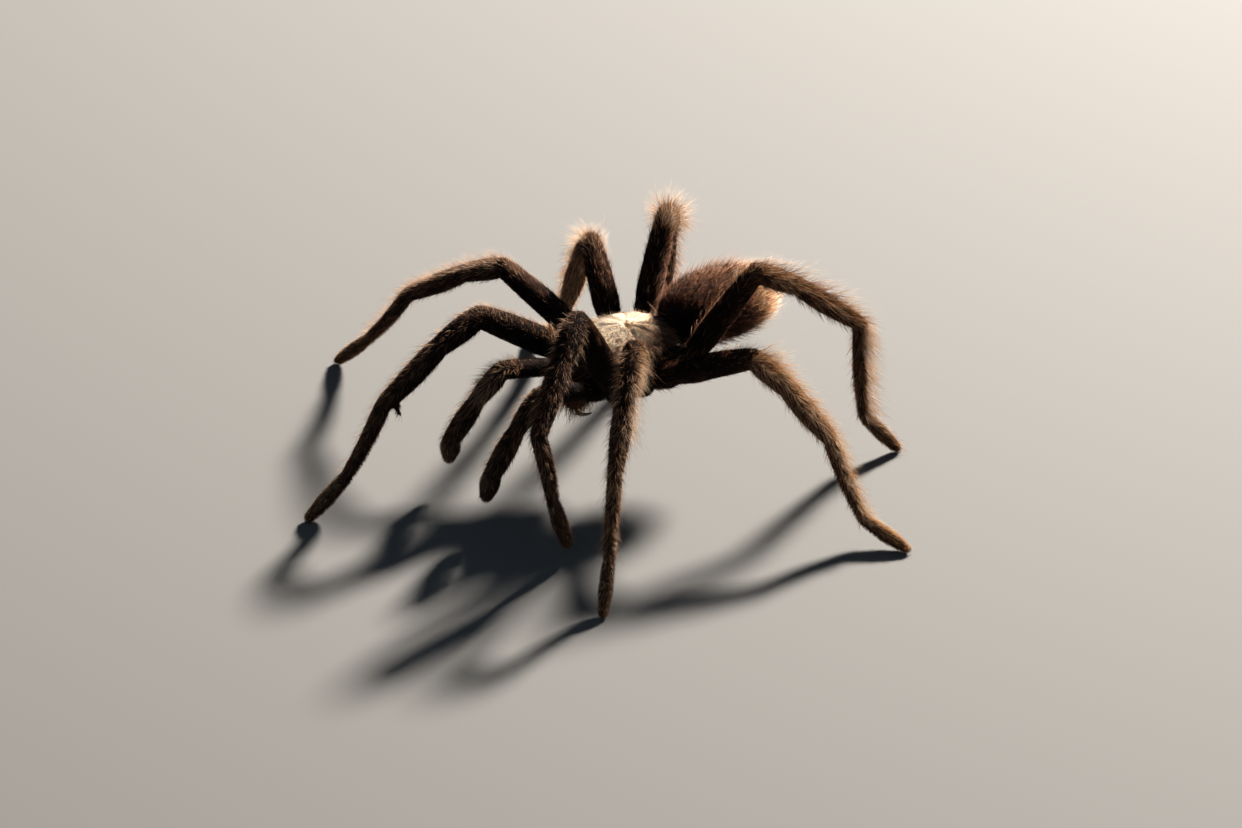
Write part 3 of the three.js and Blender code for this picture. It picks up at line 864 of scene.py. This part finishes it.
def coatPiece(name, batches, material):
    # batches hold hairs and, for each hair, its pale, warm, chance and place on the unwrap
    verts = np.concatenate([batch["verts"] for batch in batches])
    starts = np.cumsum([0] + [len(batch["verts"]) for batch in batches[:-1]])
    faces = np.concatenate([batch["faces"] + start for batch, start in zip(batches, starts)])
    mesh = bpy.data.meshes.new(name)
    mesh.vertices.add(len(verts))
    mesh.vertices.foreach_set("co", verts.ravel())
    mesh.loops.add(len(faces) * 3)
    mesh.loops.foreach_set("vertex_index", faces.ravel().astype(np.int32))
    mesh.polygons.add(len(faces))
    mesh.polygons.foreach_set("loop_start", np.arange(len(faces), dtype=np.int32) * 3)
    mesh.polygons.foreach_set("use_smooth", np.ones(len(faces), bool))
    mesh.update(calc_edges=True)
    mesh.validate()
    for key in ("pale", "warm", "chance"):
        values = [np.repeat(batch[key], batch["each"]) for batch in batches]
        writeValues(mesh, key, np.concatenate(values))
    writeValues(mesh, "tip", np.concatenate([batch["tip"] for batch in batches]))
    places = np.concatenate([
        np.repeat(batch["unwrap"], batch["each"], axis=0) + batch["patch"] * hairLook["patch"]
        for batch in batches
    ])
    layer = mesh.uv_layers.new(name="OFBake")
    corner = np.empty(len(mesh.loops), np.int32)
    mesh.loops.foreach_get("vertex_index", corner)
    layer.uv.foreach_set("vector", np.clip(places[corner], 0.002, 0.998).astype(np.float32).ravel())
    piece = meshObject(name, mesh, material)
    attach(piece, "root")
    print(name, len(faces), "triangles")


# the limbs' and the body's coat

shortHair = {  # per square millimetre, mm long, degrees off the skin
    "coxa": (24, 0.9, 16), "femur": (33, 0.75, 12), "patella": (33, 0.78, 14),
    "tibia": (34, 0.8, 14), "metatarsus": (38, 0.75, 16), "tarsus": (48, 0.65, 22),
    "sternum": (20, 0.9, 20), "abdomen": (35, 1.2, 20), "spinneret": (30, 0.6, 25),
}
longHairs = {
    "coxa": (3.0, 1.8, 34), "femur": (3.4, 1.2, 30), "patella": (4.5, 2.0, 34),
    "tibia": (4.8, 2.2, 36), "metatarsus": (4.5, 1.9, 40), "tarsus": (5.0, 1.1, 36),
    "sternum": (2.0, 1.5, 35), "abdomen": (9, 2.1, 42), "spinneret": (6, 1.1, 35),
}
haloHairs = {  # fine and pale, standing well off the coat
    "coxa": (0.6, 1.5, 45), "femur": (4.5, 1.6, 50), "patella": (15, 2.9, 50),
    "tibia": (13, 2.9, 48), "metatarsus": (14, 2.9, 58), "tarsus": (10, 1.2, 45),
    "sternum": (0.5, 1.6, 45), "abdomen": (4, 2.8, 52), "spinneret": (1, 1.2, 45),
}
fanHairs = {  # a few long fringes, on one side of a limb
    "femur": (12, 2.6, 44), "patella": (15, 3.3, 44), "tibia": (10, 3.3, 42),
    "metatarsus": (12, 3.4, 58),
}
coatLayers = {  # mm wide, mm into the skin, unevenness of length and lean
    "short": {"width": 0.058, "sunk": 0.08, "uneven": (0.22, 0.5, 1.7), "jitter": 0.16},
    "long": {"width": 0.048, "sunk": 0.1, "uneven": (0.3, 0.35, 1.8), "jitter": 0.2, "curl": 0.55},
    "halo": {"width": 0.036, "sunk": 0.1, "uneven": (0.25, 0.4, 1.7), "jitter": 0.15, "curl": 0.35},
    "brush": {"width": 0.075, "length": 0.55, "lift": 62, "pale": 0.2},    # under each foot
    # factors for the palps, the first legs and so on
    "longOnLegs": (0.72, 0.72, 0.8, 1.05, 1.15), "haloOnLegs": (0.55, 0.6, 0.75, 0.8, 1.2),
    # how many painted glints the palps, first and second legs get
    "glintsOnLegs": (0.5, 0.3, 0.8),
    "bushyKnee": 0.45, "steepKnee": 12,     # the halo's, longer by this share, and degrees more
}


def unwrapPlace(spot):
    # each limb's lengths lie side by side in strips, turned once round and laid flat
    strips = (spot["part"] + 0.04 + 0.92 * spot["share"]) / 6
    u = np.where(spot["limb"] >= 0, strips, spot["share"])
    return np.stack([u, 0.03 + 0.94 * spot["turn"]], 1)


def shortInFront(spot):
    # the coat of the abdomen is short where it faces the carapace
    facing = isPart(spot, "abdomen") * ramp(spot["back"], -0.4, 0.1)
    return 1 - 0.55 * facing * (1 - ramp(spot["share"], 0.05, 0.4))


def onTheCrest(spot):
    return ramp(spot["back"], 0.78, 0.98) * ramp(spot["share"], 0.15, 0.4)


def shortBatch(table, roots, normals, spot, rng, seed):
    look, brush, count = coatLayers["short"], coatLayers["brush"], len(roots)
    length = perPart(table, spot, 1) * uneven(rng, count, *look["uneven"]) * shortInFront(spot)
    under = isPart(spot, "tarsus") | isPart(spot, "metatarsus") & (spot["share"] > 0.35)
    under &= (spot["back"] < -0.25) & (spot["rank"] > 0)
    length = np.where(under, brush["length"], length)
    lift = np.where(under, brush["lift"], perPart(table, spot, 2))
    nearJoint = np.exp(-((np.minimum(spot["reach"], spot["left"]) / 0.5) ** 2))
    length = length * np.where(spot["limb"] >= 0, 1 - 0.15 * nearJoint, 1)
    first, _ = leaning(normals, spot["along"], lift, rng, look["jitter"], roots, seed)
    width = np.where(under, brush["width"], look["width"]) * uneven(rng, count, 0.2, 0.6, 1.5)
    pale, warm = markingsAndLight(roots, spot)
    return dict(
        hairs(roots, first, None, length, width, look["sunk"]),
        pale=np.where(under, brush["pale"], pale), warm=warm, unwrap=unwrapPlace(spot),
        chance=rng.normal(size=count) * 0.3 + wavering(roots, 1.6, seed + 1) * 0.22,
    )


def longBatch(table, roots, normals, spot, rng, seed):
    look, count, onAbdomen = coatLayers["long"], len(roots), isPart(spot, "abdomen")
    length = perPart(table, spot, 1) * uneven(rng, count, *look["uneven"])
    length = length * perRank(spot, coatLayers["longOnLegs"]) * shortInFront(spot)
    length = length * np.where(spot["limb"] >= 0, 0.72 + 0.38 * ramp(spot["back"], -0.6, 0.9), 1)
    lift = perPart(table, spot, 2)
    first, flat = leaning(normals, spot["along"], lift, rng, look["jitter"], roots, seed)
    width = look["width"] * uneven(rng, count, 0.2, 0.6, 1.6)
    pale, warm = markingsAndLight(roots, spot)
    # painted glints: one in a few is pale where the light falls, among the dark ones
    lit = np.where(onAbdomen, onTheCrest(spot) + ramp(spot["share"], 0.5, 0.9) * 0.7,
                   0.25 + 0.75 * ramp(spot["back"], -0.1, 0.75))
    few = np.where(onAbdomen, 0.16, 0.35) * perRank(spot, coatLayers["glintsOnLegs"])
    few = few * np.where(isPart(spot, "femur"), 0.2 + 0.8 * kneeOf(spot), 1)
    paintedGlints = rng.random(count) < few
    return dict(
        hairs(roots, first, unit(first + flat * look["curl"]), length, width * (1 + 0.4 * paintedGlints),
              look["sunk"]),
        pale=pale * 1.3 + np.where(onAbdomen, 0.75, 0.4) * lit * paintedGlints, warm=warm + 0.05,
        chance=rng.normal(size=count) * 0.5, unwrap=unwrapPlace(spot),
    )


def haloBatch(table, roots, normals, spot, rng, seed):
    look, count, onAbdomen = coatLayers["halo"], len(roots), isPart(spot, "abdomen")
    knee, isHalo = kneeOf(spot), table is haloHairs
    length = perPart(table, spot, 1) * uneven(rng, count, *look["uneven"]) * shortInFront(spot)
    if isHalo:
        bushy = coatLayers["bushyKnee"] * (spot["rank"] > 2)
        bushy = np.where(isLimb(spot, "leg_4_left"), -coatLayers["bushyKnee"], bushy)
        length = length * perRank(spot, coatLayers["haloOnLegs"]) * (1 + bushy * knee)
        length = length * np.where(spot["limb"] >= 0, 0.5 + 0.6 * ramp(spot["back"], -0.5, 0.8), 1)
    else:
        length = length * np.where(spot["rank"] < 2, 0.6, 1)
    lift = perPart(table, spot, 2) + coatLayers["steepKnee"] * knee
    first, flat = leaning(normals, spot["along"], lift, rng, look["jitter"], roots, seed)
    pale, _ = markingsAndLight(roots, spot)
    # painted glints: one halo hair in six on the crest is pale and less rusty
    sparse = 0.05 + pale * 1.2 + 0.5 * (rng.random(count) < 0.16) * onTheCrest(spot)
    pale = np.where(onAbdomen, sparse, (0.45 if isHalo else 0.62) + pale * 0.3)
    warm = np.where(onAbdomen, 0.6 - 0.4 * (sparse > 0.5), 0.48)
    if not isHalo:
        pale = pale + 0.1 * isLimb(spot, "leg_2_left", "leg_4_left")
    # the third legs' halo paler and warmer, as painted light
    third = spot["rank"] == 3
    return dict(
        hairs(roots, first, unit(first + flat * look["curl"]), length, look["width"], look["sunk"]),
        pale=pale + 0.15 * third, warm=warm + 0.1 * third,
        chance=rng.normal(size=count) * 0.4, unwrap=unwrapPlace(spot),
    )


def everywhere(spot):
    return 1.0


def offTheStripe(spot):
    return 1 - 0.85 * stripe(spot)


def onTheBack(spot):
    # the halo is thick along the back of each limb and thin under it, thickest at the knee
    knee, rank = kneeOf(spot), spot["rank"]
    share = 0.2 + 0.8 * ramp(spot["back"], -0.5, 0.5)
    share = np.where(isPart(spot, "femur"), share * (0.12 + 1.7 * knee), share)
    share = share * (1 - 0.92 * stripe(spot))
    dense = isPart(spot, "metatarsus") | (knee > 0.3) | (rank == 3)
    share = share * np.where(dense & (rank > 2), 1, np.where(rank < 2, 0.3, 0.6))
    return np.where(spot["limb"] >= 0, share, ramp(spot["back"], -0.6, 0.4) + 0.2)


def inTheFans(spot):
    # fringes behind the left first and second legs' shins, down the back of the left last
    # leg's metatarsus, at the right last leg's knee, over the right palp's knee and on the
    # femur behind it
    back, rear, knee = spot["back"], spot["rear"], kneeOf(spot) > 0.3
    shin = isPart(spot, "patella") | isPart(spot, "tibia") & (spot["share"] < 0.55)
    bend = isPart(spot, "patella") | isPart(spot, "femur") & (spot["left"] < 3)
    second = isLimb(spot, "leg_2_left") * shin * ramp(rear, 0.2, 0.8)
    first = isLimb(spot, "leg_1_left") * shin * ramp(rear, 0.3, 0.9)
    palp = isLimb(spot, "palp_right") * bend * ramp(back, -0.1, 0.7)
    heel = isLimb(spot, "leg_4_left") * isPart(spot, "metatarsus") * ramp(back, -0.2, 0.6)
    high = isLimb(spot, "leg_4_right") * knee * ramp(back, -0.5, 0.3) * ramp(rear, -0.7, 0.1)
    front = isLimb(spot, "leg_1_right") * isPart(spot, "femur") * ramp(back, 0.1, 0.7)
    return second + 0.12 * first + palp + heel + high + 0.45 * front


def coatTheSkin(skin):
    layers = []
    for table, seed, make, share in (
        (shortHair, 21, shortBatch, everywhere), (longHairs, 31, longBatch, offTheStripe),
        (haloHairs, 41, haloBatch, onTheBack), (fanHairs, 51, haloBatch, inTheFans),
    ):
        most = max(values[0] for values in table.values())
        roots, normals, rng = scatter(skin.data, most, seed)
        spot = locate(roots)
        keep = rng.random(len(roots)) < perPart(table, spot, 0) / most * share(spot)
        layers.append((table, roots[keep], normals[keep], only(spot, keep), rng, make))
    print("roots", [len(layer[1]) for layer in layers])
    kinds = [(f"coat_{limb}", "shin_hair", isLimb, (limb,)) for limb in limbNames]
    kinds.append(("coat_abdomen", "abdomen_hair", isPart, ("abdomen", "spinneret")))
    kinds.append(("coat_chest", "chest_hair", isPart, ("sternum",)))
    for seed, (name, slot, isOn, wanted) in enumerate(kinds, 40):
        batches = []
        for table, roots, normals, spot, rng, make in layers:
            mine = isOn(spot, *wanted)
            if mine.any():
                batches.append(make(table, roots[mine], normals[mine], only(spot, mine), rng, seed))
        coatPiece(name, batches, shortCoat)


def paint(mesh, pale, warm, lie):
    writeValues(mesh, "pale", pale)
    writeValues(mesh, "warm", warm)
    made = mesh.attributes.new("lie", "FLOAT_VECTOR", "POINT")
    made.data.foreach_set("vector", lie.astype(np.float32).ravel())
    mesh.materials.append(underCoat)


def paintSkin(skin):
    places = readPoints(skin.data.vertices)
    spot = locate(places)
    pale, warm = markingsAndLight(places, spot)
    # a place that is drawn out along the body, so that a fine pattern on it runs in streaks
    lengthways = np.einsum("ij,ij->i", places, spot["along"])
    lie = (places - spot["along"] * (lengthways * 0.82)[:, None]) / mm
    # the skin is darker than its coat; on the third legs less so, as painted light
    paint(skin.data, pale * np.where(spot["rank"] == 3, 0.45, 0.25), warm, lie)


skin = makeSkin()
print("skin", len(skin.data.polygons), "faces")
paintSkin(skin)
fleshy = ("leg_", "palp_", "chest", "abdomen")
flesh = [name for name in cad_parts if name.startswith(fleshy)]
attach(skin, "root")
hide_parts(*flesh)
coatTheSkin(skin)

# carapace

carapaceLook = {
    "halfWidth": 7.2, "halfLength": 8.1, "dome": 3.9, "under": 0.7, "rim": 0.3, "depth": 0.25,
    "pit": 1.2,     # how far behind the middle the pit is
    "velvet": {
        "density": 125, "length": 0.5, "atRim": 0, "inFront": 0, "uneven": (0.2, 0.5, 1.6),
        "lift": 15, "curl": None, "width": 0.065, "sunk": 0.05, "seed": 71,
    },
    "fringe": {
        "density": 14, "length": 0.9, "atRim": 1.3, "inFront": 0.9, "uneven": (0.3, 0.4, 1.7),
        "lift": 38, "curl": 0.6, "width": 0.06, "sunk": 0.08, "seed": 72,
    },
}


def rimOf(x, y):
    return np.hypot(x / carapaceLook["halfWidth"], y / carapaceLook["halfLength"])


def carapaceShape(x, y, z):
    front, rear = max(0, -y), max(0, y)
    x = np.sign(x) * abs(x) ** 0.9
    x *= 1 - 0.2 * front ** 1.5 - 0.12 * rear ** 3
    head = np.exp(-(((y + 0.55) / 0.4) ** 2) - (x / 0.45) ** 2)
    if z > 0:  # flatter on top than a ball, steeper at the rim
        z *= np.sqrt(2 - z * z) * (carapaceLook["dome"] + 0.5 * head)
    else:
        z *= carapaceLook["under"]
    return x, y, z


def carapaceRelief(x, y):
    # depth in mm: the pit in the middle and the grooves that run out from it
    y = y - carapaceLook["pit"]
    pit = 0.75 * np.exp(-((x / 1.1) ** 2) - (y / 0.45) ** 2)
    angle = np.arctan2(x, -y)
    grooves = 0.0
    for middle in (0.62, 1.35, 2.0, 2.6):
        for side in (1, -1):
            grooves += np.exp(-(((angle - side * middle) / 0.13) ** 2))
    return pit + grooves * (0.3 * np.exp(-((np.hypot(x, y) - 3.4) / 2.2) ** 2))


def makeCarapace():
    look = carapaceLook
    shape = unitBall(120, 60)
    half = (look["halfWidth"] - look["depth"], look["halfLength"] - look["depth"])
    for vert in shape.verts:
        x, y, z = carapaceShape(*vert.co)
        x, y = x * half[0], y * half[1]
        if vert.co.z > 0:
            z -= carapaceRelief(x, y) * min(1, z / 1.2) + look["depth"] * min(1, z / 0.6)
            z = max(0.0, z)
        rim = np.hypot(x / half[0], y / half[1])
        z += 0.25 * np.exp(-((rim - 0.98) / 0.05) ** 2)
        vert.co = (x, y, z + look["rim"])
    bmesh.ops.transform(shape, matrix=bodyMatrix, verts=shape.verts)
    return objectFrom("carapace_shell", shape)


def carapaceMarkingsAndShade(low):
    x, y = low[:, 0], low[:, 1]
    rim = rimOf(x, y)
    # darker in the pit, the grooves and at the front; painted shade darkens the rim and the half
    # behind the middle
    pale = 1.0 - 0.18 * np.clip(carapaceRelief(x, y), 0, 1) - 0.42 * ramp(rim, 0.62, 0.95)
    pale = pale - 0.1 * ramp(-y, 4.5, 7.5) - 0.27 * ramp(y, 0.5, 3.5)
    warm = 0.16 + 0.22 * ramp(rim, 0.75, 1.0) + 0.1 * ramp(-y, 4, 7)
    return np.clip(pale, 0, 1), np.clip(warm, 0, 1)


def paintCarapace(carapace):
    # dark underneath, where only the velvet's skin shows
    low = within(intoBody, readPoints(carapace.data.vertices))
    facing = readPoints(carapace.data.vertex_normals, "vector")
    under = ramp(-(facing @ bodyAxes[:, 2]), -0.2, 0.3)
    pale, warm = carapaceMarkingsAndShade(low)
    paint(carapace.data, pale * (0.95 - 0.9 * under), warm, low)


def coatCarapace(carapace):
    batches = []
    for kind in ("velvet", "fringe"):
        look = carapaceLook[kind]
        roots, normals, rng = scatter(carapace.data, look["density"], look["seed"])
        low = within(intoBody, roots)
        rim = rimOf(low[:, 0], low[:, 1])
        front = ramp(-low[:, 1], -1.5, 2.5) * ramp(rim, 0.35, 0.7)
        keep = normals @ bodyAxes[:, 2] > 0.05
        if kind == "fringe":
            keep &= rng.random(len(rim)) < ramp(rim, 0.5, 0.95) * 0.6 + 0.05 + front * 0.6
        roots, normals, low, rim, front = (each[keep] for each in (roots, normals, low, rim, front))
        along = unit(low * np.array([1, 1, 0]) - np.array([0, carapaceLook["pit"], 0])) @ bodyAxes.T
        pale, warm = carapaceMarkingsAndShade(low)
        if kind == "fringe":
            pale, warm = pale - 0.1 + 0.25 * ramp(rim, 0.7, 0.95), warm + 0.15
        length = look["length"] + look["atRim"] * ramp(rim, 0.75, 1.0) + look["inFront"] * front
        length = length * uneven(rng, len(roots), *look["uneven"])
        first, flat = leaning(normals, along, look["lift"], rng, 0.2, roots, look["seed"])
        second = unit(first + flat * look["curl"]) if look["curl"] else None
        place = low[:, :2] / np.array([carapaceLook["halfWidth"], carapaceLook["halfLength"]])
        batches.append(dict(
            hairs(roots, first, second, length, look["width"], look["sunk"]),
            pale=pale, warm=warm, unwrap=place * 0.47 + 0.5,
            chance=rng.normal(size=len(roots)) * 0.4 + wavering(roots, 1.5, look["seed"]) * 0.3,
        ))
    coatPiece("coat_carapace", batches, velvet)


carapace = makeCarapace()
paintCarapace(carapace)
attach(carapace, "root")
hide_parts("carapace")
coatCarapace(carapace)
print("carapace")

# eyes on their mound

eyeLook = {
    "mound": ((0, -6.0, 3.9), (1.35, 0.95, 0.85)),
    "eyes": (  # place on the mound, out and forward, and radius, for one side
        ("front_middle", 0.38, -0.42, 0.25), ("front_outer", 0.98, -0.55, 0.26),
        ("rear_outer", 1.02, 0.16, 0.22), ("rear_middle", 0.6, 0.18, 0.17),
    ),
    "sunk": 0.4,
    "bristles": {
        "density": 30, "length": 0.6, "lift": 48, "curl": 0.5, "width": 0.04, "sunk": 0.04,
        "pale": 0.36, "warm": 0.35, "seed": 91,
    },
}


def moundHeight(x, y):
    place, size = eyeLook["mound"]
    inside = max(0.0, 1 - (x / size[0]) ** 2 - (y / size[1]) ** 2)
    return place[2] + size[2] * inside ** 0.5


def makeEyes():
    place, size = eyeLook["mound"]
    mound = objectFrom("eye_mound_skin", bodyBall(place, size, 40, 24), hornMaterial("moundHorn"))
    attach(mound, "root")
    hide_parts("eye_mound")
    dark, pale = bmesh.new(), bmesh.new()
    beads = []
    for name, out, ahead, radius in eyeLook["eyes"]:
        for side in sides.values():
            height = moundHeight(out, ahead) if name != "front_outer" else place[2] + 0.25
            spot = Vector((side * out, place[1] + ahead, height))
            outward = (spot - Vector(place)).normalized()
            beads.append((spot, radius))
            bead = bodyBall(spot - outward * radius * eyeLook["sunk"], (radius,) * 3, 20, 12)
            addTo(dark if name == "front_middle" else pale, bead)
    for name, shape, finish in (
        ("eyes_dark", dark, "darkEyeGloss"), ("eyes_pale", pale, "paleEyeGloss"),
    ):
        eyes = objectFrom(name, shape, hornMaterial(finish))
        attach(eyes, "root")
    return mound, beads


def coatMound(mound, beads):
    # short bristles between the eyes, leaning forwards
    look = eyeLook["bristles"]
    roots, normals, rng = scatter(mound.data, look["density"], look["seed"])
    low = within(intoBody, roots)
    keep = low[:, 2] > eyeLook["mound"][0][2]
    for spot, radius in beads:
        keep &= np.linalg.norm(low - np.array(spot), axis=1) > radius * 1.25
    roots, normals, low = roots[keep], normals[keep], low[keep]
    count = len(roots)
    along = np.tile(bodyAxes @ np.array([0, -1.0, 0]), (count, 1))
    first, flat = leaning(normals, along, look["lift"], rng, 0.25, roots, look["seed"])
    second = unit(first + flat * look["curl"])
    length = look["length"] * uneven(rng, count, 0.35, 0.4, 2)
    coatPiece("coat_eye_mound", [dict(
        hairs(roots, first, second, length, look["width"], look["sunk"]),
        pale=np.full(count, look["pale"]), warm=np.full(count, look["warm"]),
        chance=rng.normal(size=count),
        unwrap=0.5 + (low[:, :2] - np.array(eyeLook["mound"][0][:2])) * 0.3,
    )], shortCoat)


coatMound(*makeEyes())
print("eyes")

# jaws and fangs

jawLook = {
    "place": (1.95, -8.3, -1.9), "size": (1.85, 4.45, 2.35), "droop": 56,
    "inner": 0.72, "flat": 0.35,      # where the inner side turns flat, and how flat
    "fang": (
        (1.85, -10.2, -5.0), (1.85, -10.5, -6.2), (1.85, -9.8, -7.2), (1.8, -8.6, -7.75),
        (1.7, -7.4, -7.8),
    ),
    "fangRadii": (0.62, 0.52, 0.4, 0.27, 0.08),
    "short": {
        "density": 46, "length": 0.85, "longer": 0, "lift": 24, "jitter": 0.16, "curl": None,
        "width": 0.07, "sunk": 0.06, "pale": 0, "seed": 81,
    },
    "long": {
        "density": 13, "length": 1.7, "longer": 1.0, "lift": 40, "jitter": 0.2, "curl": 0.6,
        "width": 0.065, "sunk": 0.08, "pale": 0.08, "seed": 82,
    },
}


def jawMatrix(side):
    turn = Matrix.Rotation(radians(body["pitch"] + jawLook["droop"]), 4, "X")
    place = bodyPoint(jawLook["place"], side)
    return Matrix.Translation(place) @ turn @ Matrix.Diagonal((mm, mm, mm, 1))


def jawMarkings(low):
    return 0.1 + 0.1 * ramp(low[:, 2], -1, 2), 0.25 + 0.3 * ramp(-low[:, 2], 2, 5)


def makeJaws():
    shape, fangs = bmesh.new(), bmesh.new()
    inner = jawLook["inner"]
    for side in sides.values():
        jaw = unitBall(36, 24)
        for vert in jaw.verts:  # fuller near the face, flat on the inner side
            vert.co.x *= 1 + 0.12 * vert.co.y
            vert.co.z += 0.12 * (1 - vert.co.y ** 2)
            inwards = -side * vert.co.x
            if inwards > inner:
                vert.co.x = -side * (inner + (inwards - inner) * jawLook["flat"])
        place = jawMatrix(side) @ Matrix.Diagonal((*jawLook["size"], 1))
        bmesh.ops.transform(jaw, matrix=place, verts=jaw.verts)
        addTo(shape, jaw)
        bodyHorn(fangs, jawLook["fang"], jawLook["fangRadii"], 14, side)
    jaws = objectFrom("jaws", shape)
    low = within(intoBody, readPoints(jaws.data.vertices))
    pale, warm = jawMarkings(low)
    paint(jaws.data, pale * 0.8, warm, low)
    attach(jaws, "root")
    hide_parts("chelicera_left", "chelicera_right")
    fangPiece = objectFrom("fangs", fangs, hornMaterial("fangHorn"))
    roundOff(fangPiece)
    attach(fangPiece, "root")
    return jaws


def coatJaws(jaws):
    batches = []
    for kind in ("short", "long"):
        look = jawLook[kind]
        seed = look["seed"]
        roots, normals, rng = scatter(jaws.data, look["density"], seed)
        low = within(intoBody, roots)
        keep = (low[:, 1] < -5.5) & (low[:, 2] < 2.2)
        roots, normals, low = roots[keep], normals[keep], low[keep]
        x, y, z = low.T
        along = np.tile(bodyAxes @ np.array([0, -0.5, -0.87]), (len(roots), 1))
        pale, warm = jawMarkings(low)
        size = uneven(rng, len(roots), 0.25, 0.4, 1.7)
        length = (look["length"] + look["longer"] * ramp(-z, 1, 4)) * size
        first, flat = leaning(normals, along, look["lift"], rng, look["jitter"], roots, seed)
        second = unit(first + flat * look["curl"]) if look["curl"] else None
        turn = np.arctan2(x - np.sign(x) * jawLook["place"][0], y + 9) / (2 * pi) + 0.5
        u = np.where(x > 0, 0.5, 0) + 0.01 + 0.48 * np.clip(-(z - 2.5) / 8, 0, 1)
        batches.append(dict(
            hairs(roots, first, second, length, look["width"], look["sunk"]),
            pale=pale + look["pale"], warm=warm, chance=rng.normal(size=len(roots)) * 0.4,
            unwrap=np.stack([u, turn], 1),
        ))
    coatPiece("coat_jaws", batches, shortCoat)


coatJaws(makeJaws())
print("jaws")

# claws at the feet, bulbs under the palps

clawLook = {
    "root": (0.25, 0.12), "spread": (0.16, 0.12), "lowest": 0.08,
    "steps": ((0, 0.0), (0.3, 0.12), (0.55, 0.08), (0.7, -0.12), (0.72, -0.32)),   # out and up
    "radii": (0.1, 0.09, 0.075, 0.05, 0.015),
}
bulbLook = {
    "along": 0.45, "below": 0.75,
    "steps": (  # out, down and radius
        (0.5, 0.3, 0.3), (0.1, 0.35, 0.55), (-0.45, 0.42, 0.62), (-1.0, 0.45, 0.4),
        (-1.5, 0.55, 0.2), (-2.0, 0.75, 0.1), (-2.4, 1.05, 0.04),
    ),
}


def addClaws(shape, bone, along, across):
    back = bone["back"]
    out, up = clawLook["root"]
    root = bone["end"] + (along * out + back * up) * mm
    middle, wider = clawLook["spread"]
    for side in (1, -1):
        points = [root + (across * side * (middle + wider * out) + along * out + back * up) * mm
                  for out, up in clawLook["steps"]]
        for point in points:
            point.z = max(point.z, clawLook["lowest"] * mm)
        horn(shape, points, clawLook["radii"], 7)


def addBulb(shape, bone, along):
    back = bone["back"]
    root = bone["start"].lerp(bone["end"], bulbLook["along"]) - back * bulbLook["below"] * mm
    points = [root + (along * out - back * down) * mm for out, down, _ in bulbLook["steps"]]
    horn(shape, points, [radius for *_, radius in bulbLook["steps"]], 14)


def makeClaws():
    claws, bulbs = bmesh.new(), bmesh.new()
    for bone in bones:
        along = (bone["end"] - bone["start"]).normalized()
        if bone["shape"] == "tarsus":
            addClaws(claws, bone, along, bone["back"].cross(along))
        elif bone["shape"] == "palpTarsus":
            addBulb(bulbs, bone, along)
    for name, shape, finish in (("claws", claws, "clawHorn"), ("palp_bulbs", bulbs, "bulbHorn")):
        piece = objectFrom(name, shape, hornMaterial(finish))
        roundOff(piece)
        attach(piece, "root")


makeClaws()
print("claws and bulbs")

# floor, light and camera

stageLook = {
    "floorHalf": 2.0, "floorColour": (0.14, 0.1375, 0.134), "floorRoughness": 0.9,
    # place, size, power and colour
    "keyLight": ((-0.394, 0.742, 0.543), 0.15, 52.0, (1.0, 0.93, 0.84)),
    "fillLight": ((0.5, -0.5, 0.5), 0.6, 0.25, (0.8, 0.9, 1.0)),
    "lightAim": (0.003, 0.003, 0.012),
    "sky": (0.6, 0.78, 1.0), "skyStrength": 0.1,
}
cameraLook = {
    "azimuth": 61.33, "elevation": 27.92, "distance": 1.168, "aim": (0.0075, 0.00303, 0.0118),
    "lens": 219, "sensor": 36, "clip": (0.05, 20),
}


def putUp(name, data, place, way):
    # something that looks along its own -Z
    made = bpy.data.objects.new(name, data)
    scene.collection.objects.link(made)
    made.location = place
    made.rotation_mode = "QUATERNION"
    made.rotation_quaternion = way.to_track_quat("-Z", "Y")
    return made


def makeStage():
    look = stageLook
    shape = bmesh.new()
    bmesh.ops.create_grid(shape, x_segments=2, y_segments=2, size=look["floorHalf"])
    paper, *_ = newMaterial("floorPaper", {
        "Base Color": (*look["floorColour"], 1), "Roughness": look["floorRoughness"],
    })
    floor = objectFrom("floor", shape, paper)
    for name in ("keyLight", "fillLight"):
        place, size, power, colour = look[name]
        light = bpy.data.lights.new(name, "AREA")
        light.shape = "DISK"
        light.size = size
        light.energy = power
        light.color = colour
        putUp(name, light, place, Vector(look["lightAim"]) - Vector(place))
    world = bpy.data.worlds.new("studio")
    scene.world = world
    world.use_nodes = True
    background = world.node_tree.nodes["Background"]
    background.inputs["Color"].default_value = (*look["sky"], 1)
    background.inputs["Strength"].default_value = look["skyStrength"]


def makeCamera():
    look = cameraLook
    turn, rise = radians(look["azimuth"]), radians(look["elevation"])
    back = Vector((sin(turn) * cos(rise), -cos(turn) * cos(rise), sin(rise)))
    lens = bpy.data.cameras.new("camera")
    lens.lens = look["lens"]
    lens.sensor_width = look["sensor"]
    lens.clip_start, lens.clip_end = look["clip"]
    scene.camera = putUp("camera", lens, Vector(look["aim"]) + back * look["distance"], -back)


makeStage()
makeCamera()
print("stage and camera")
scene.view_settings.view_transform = "Standard"
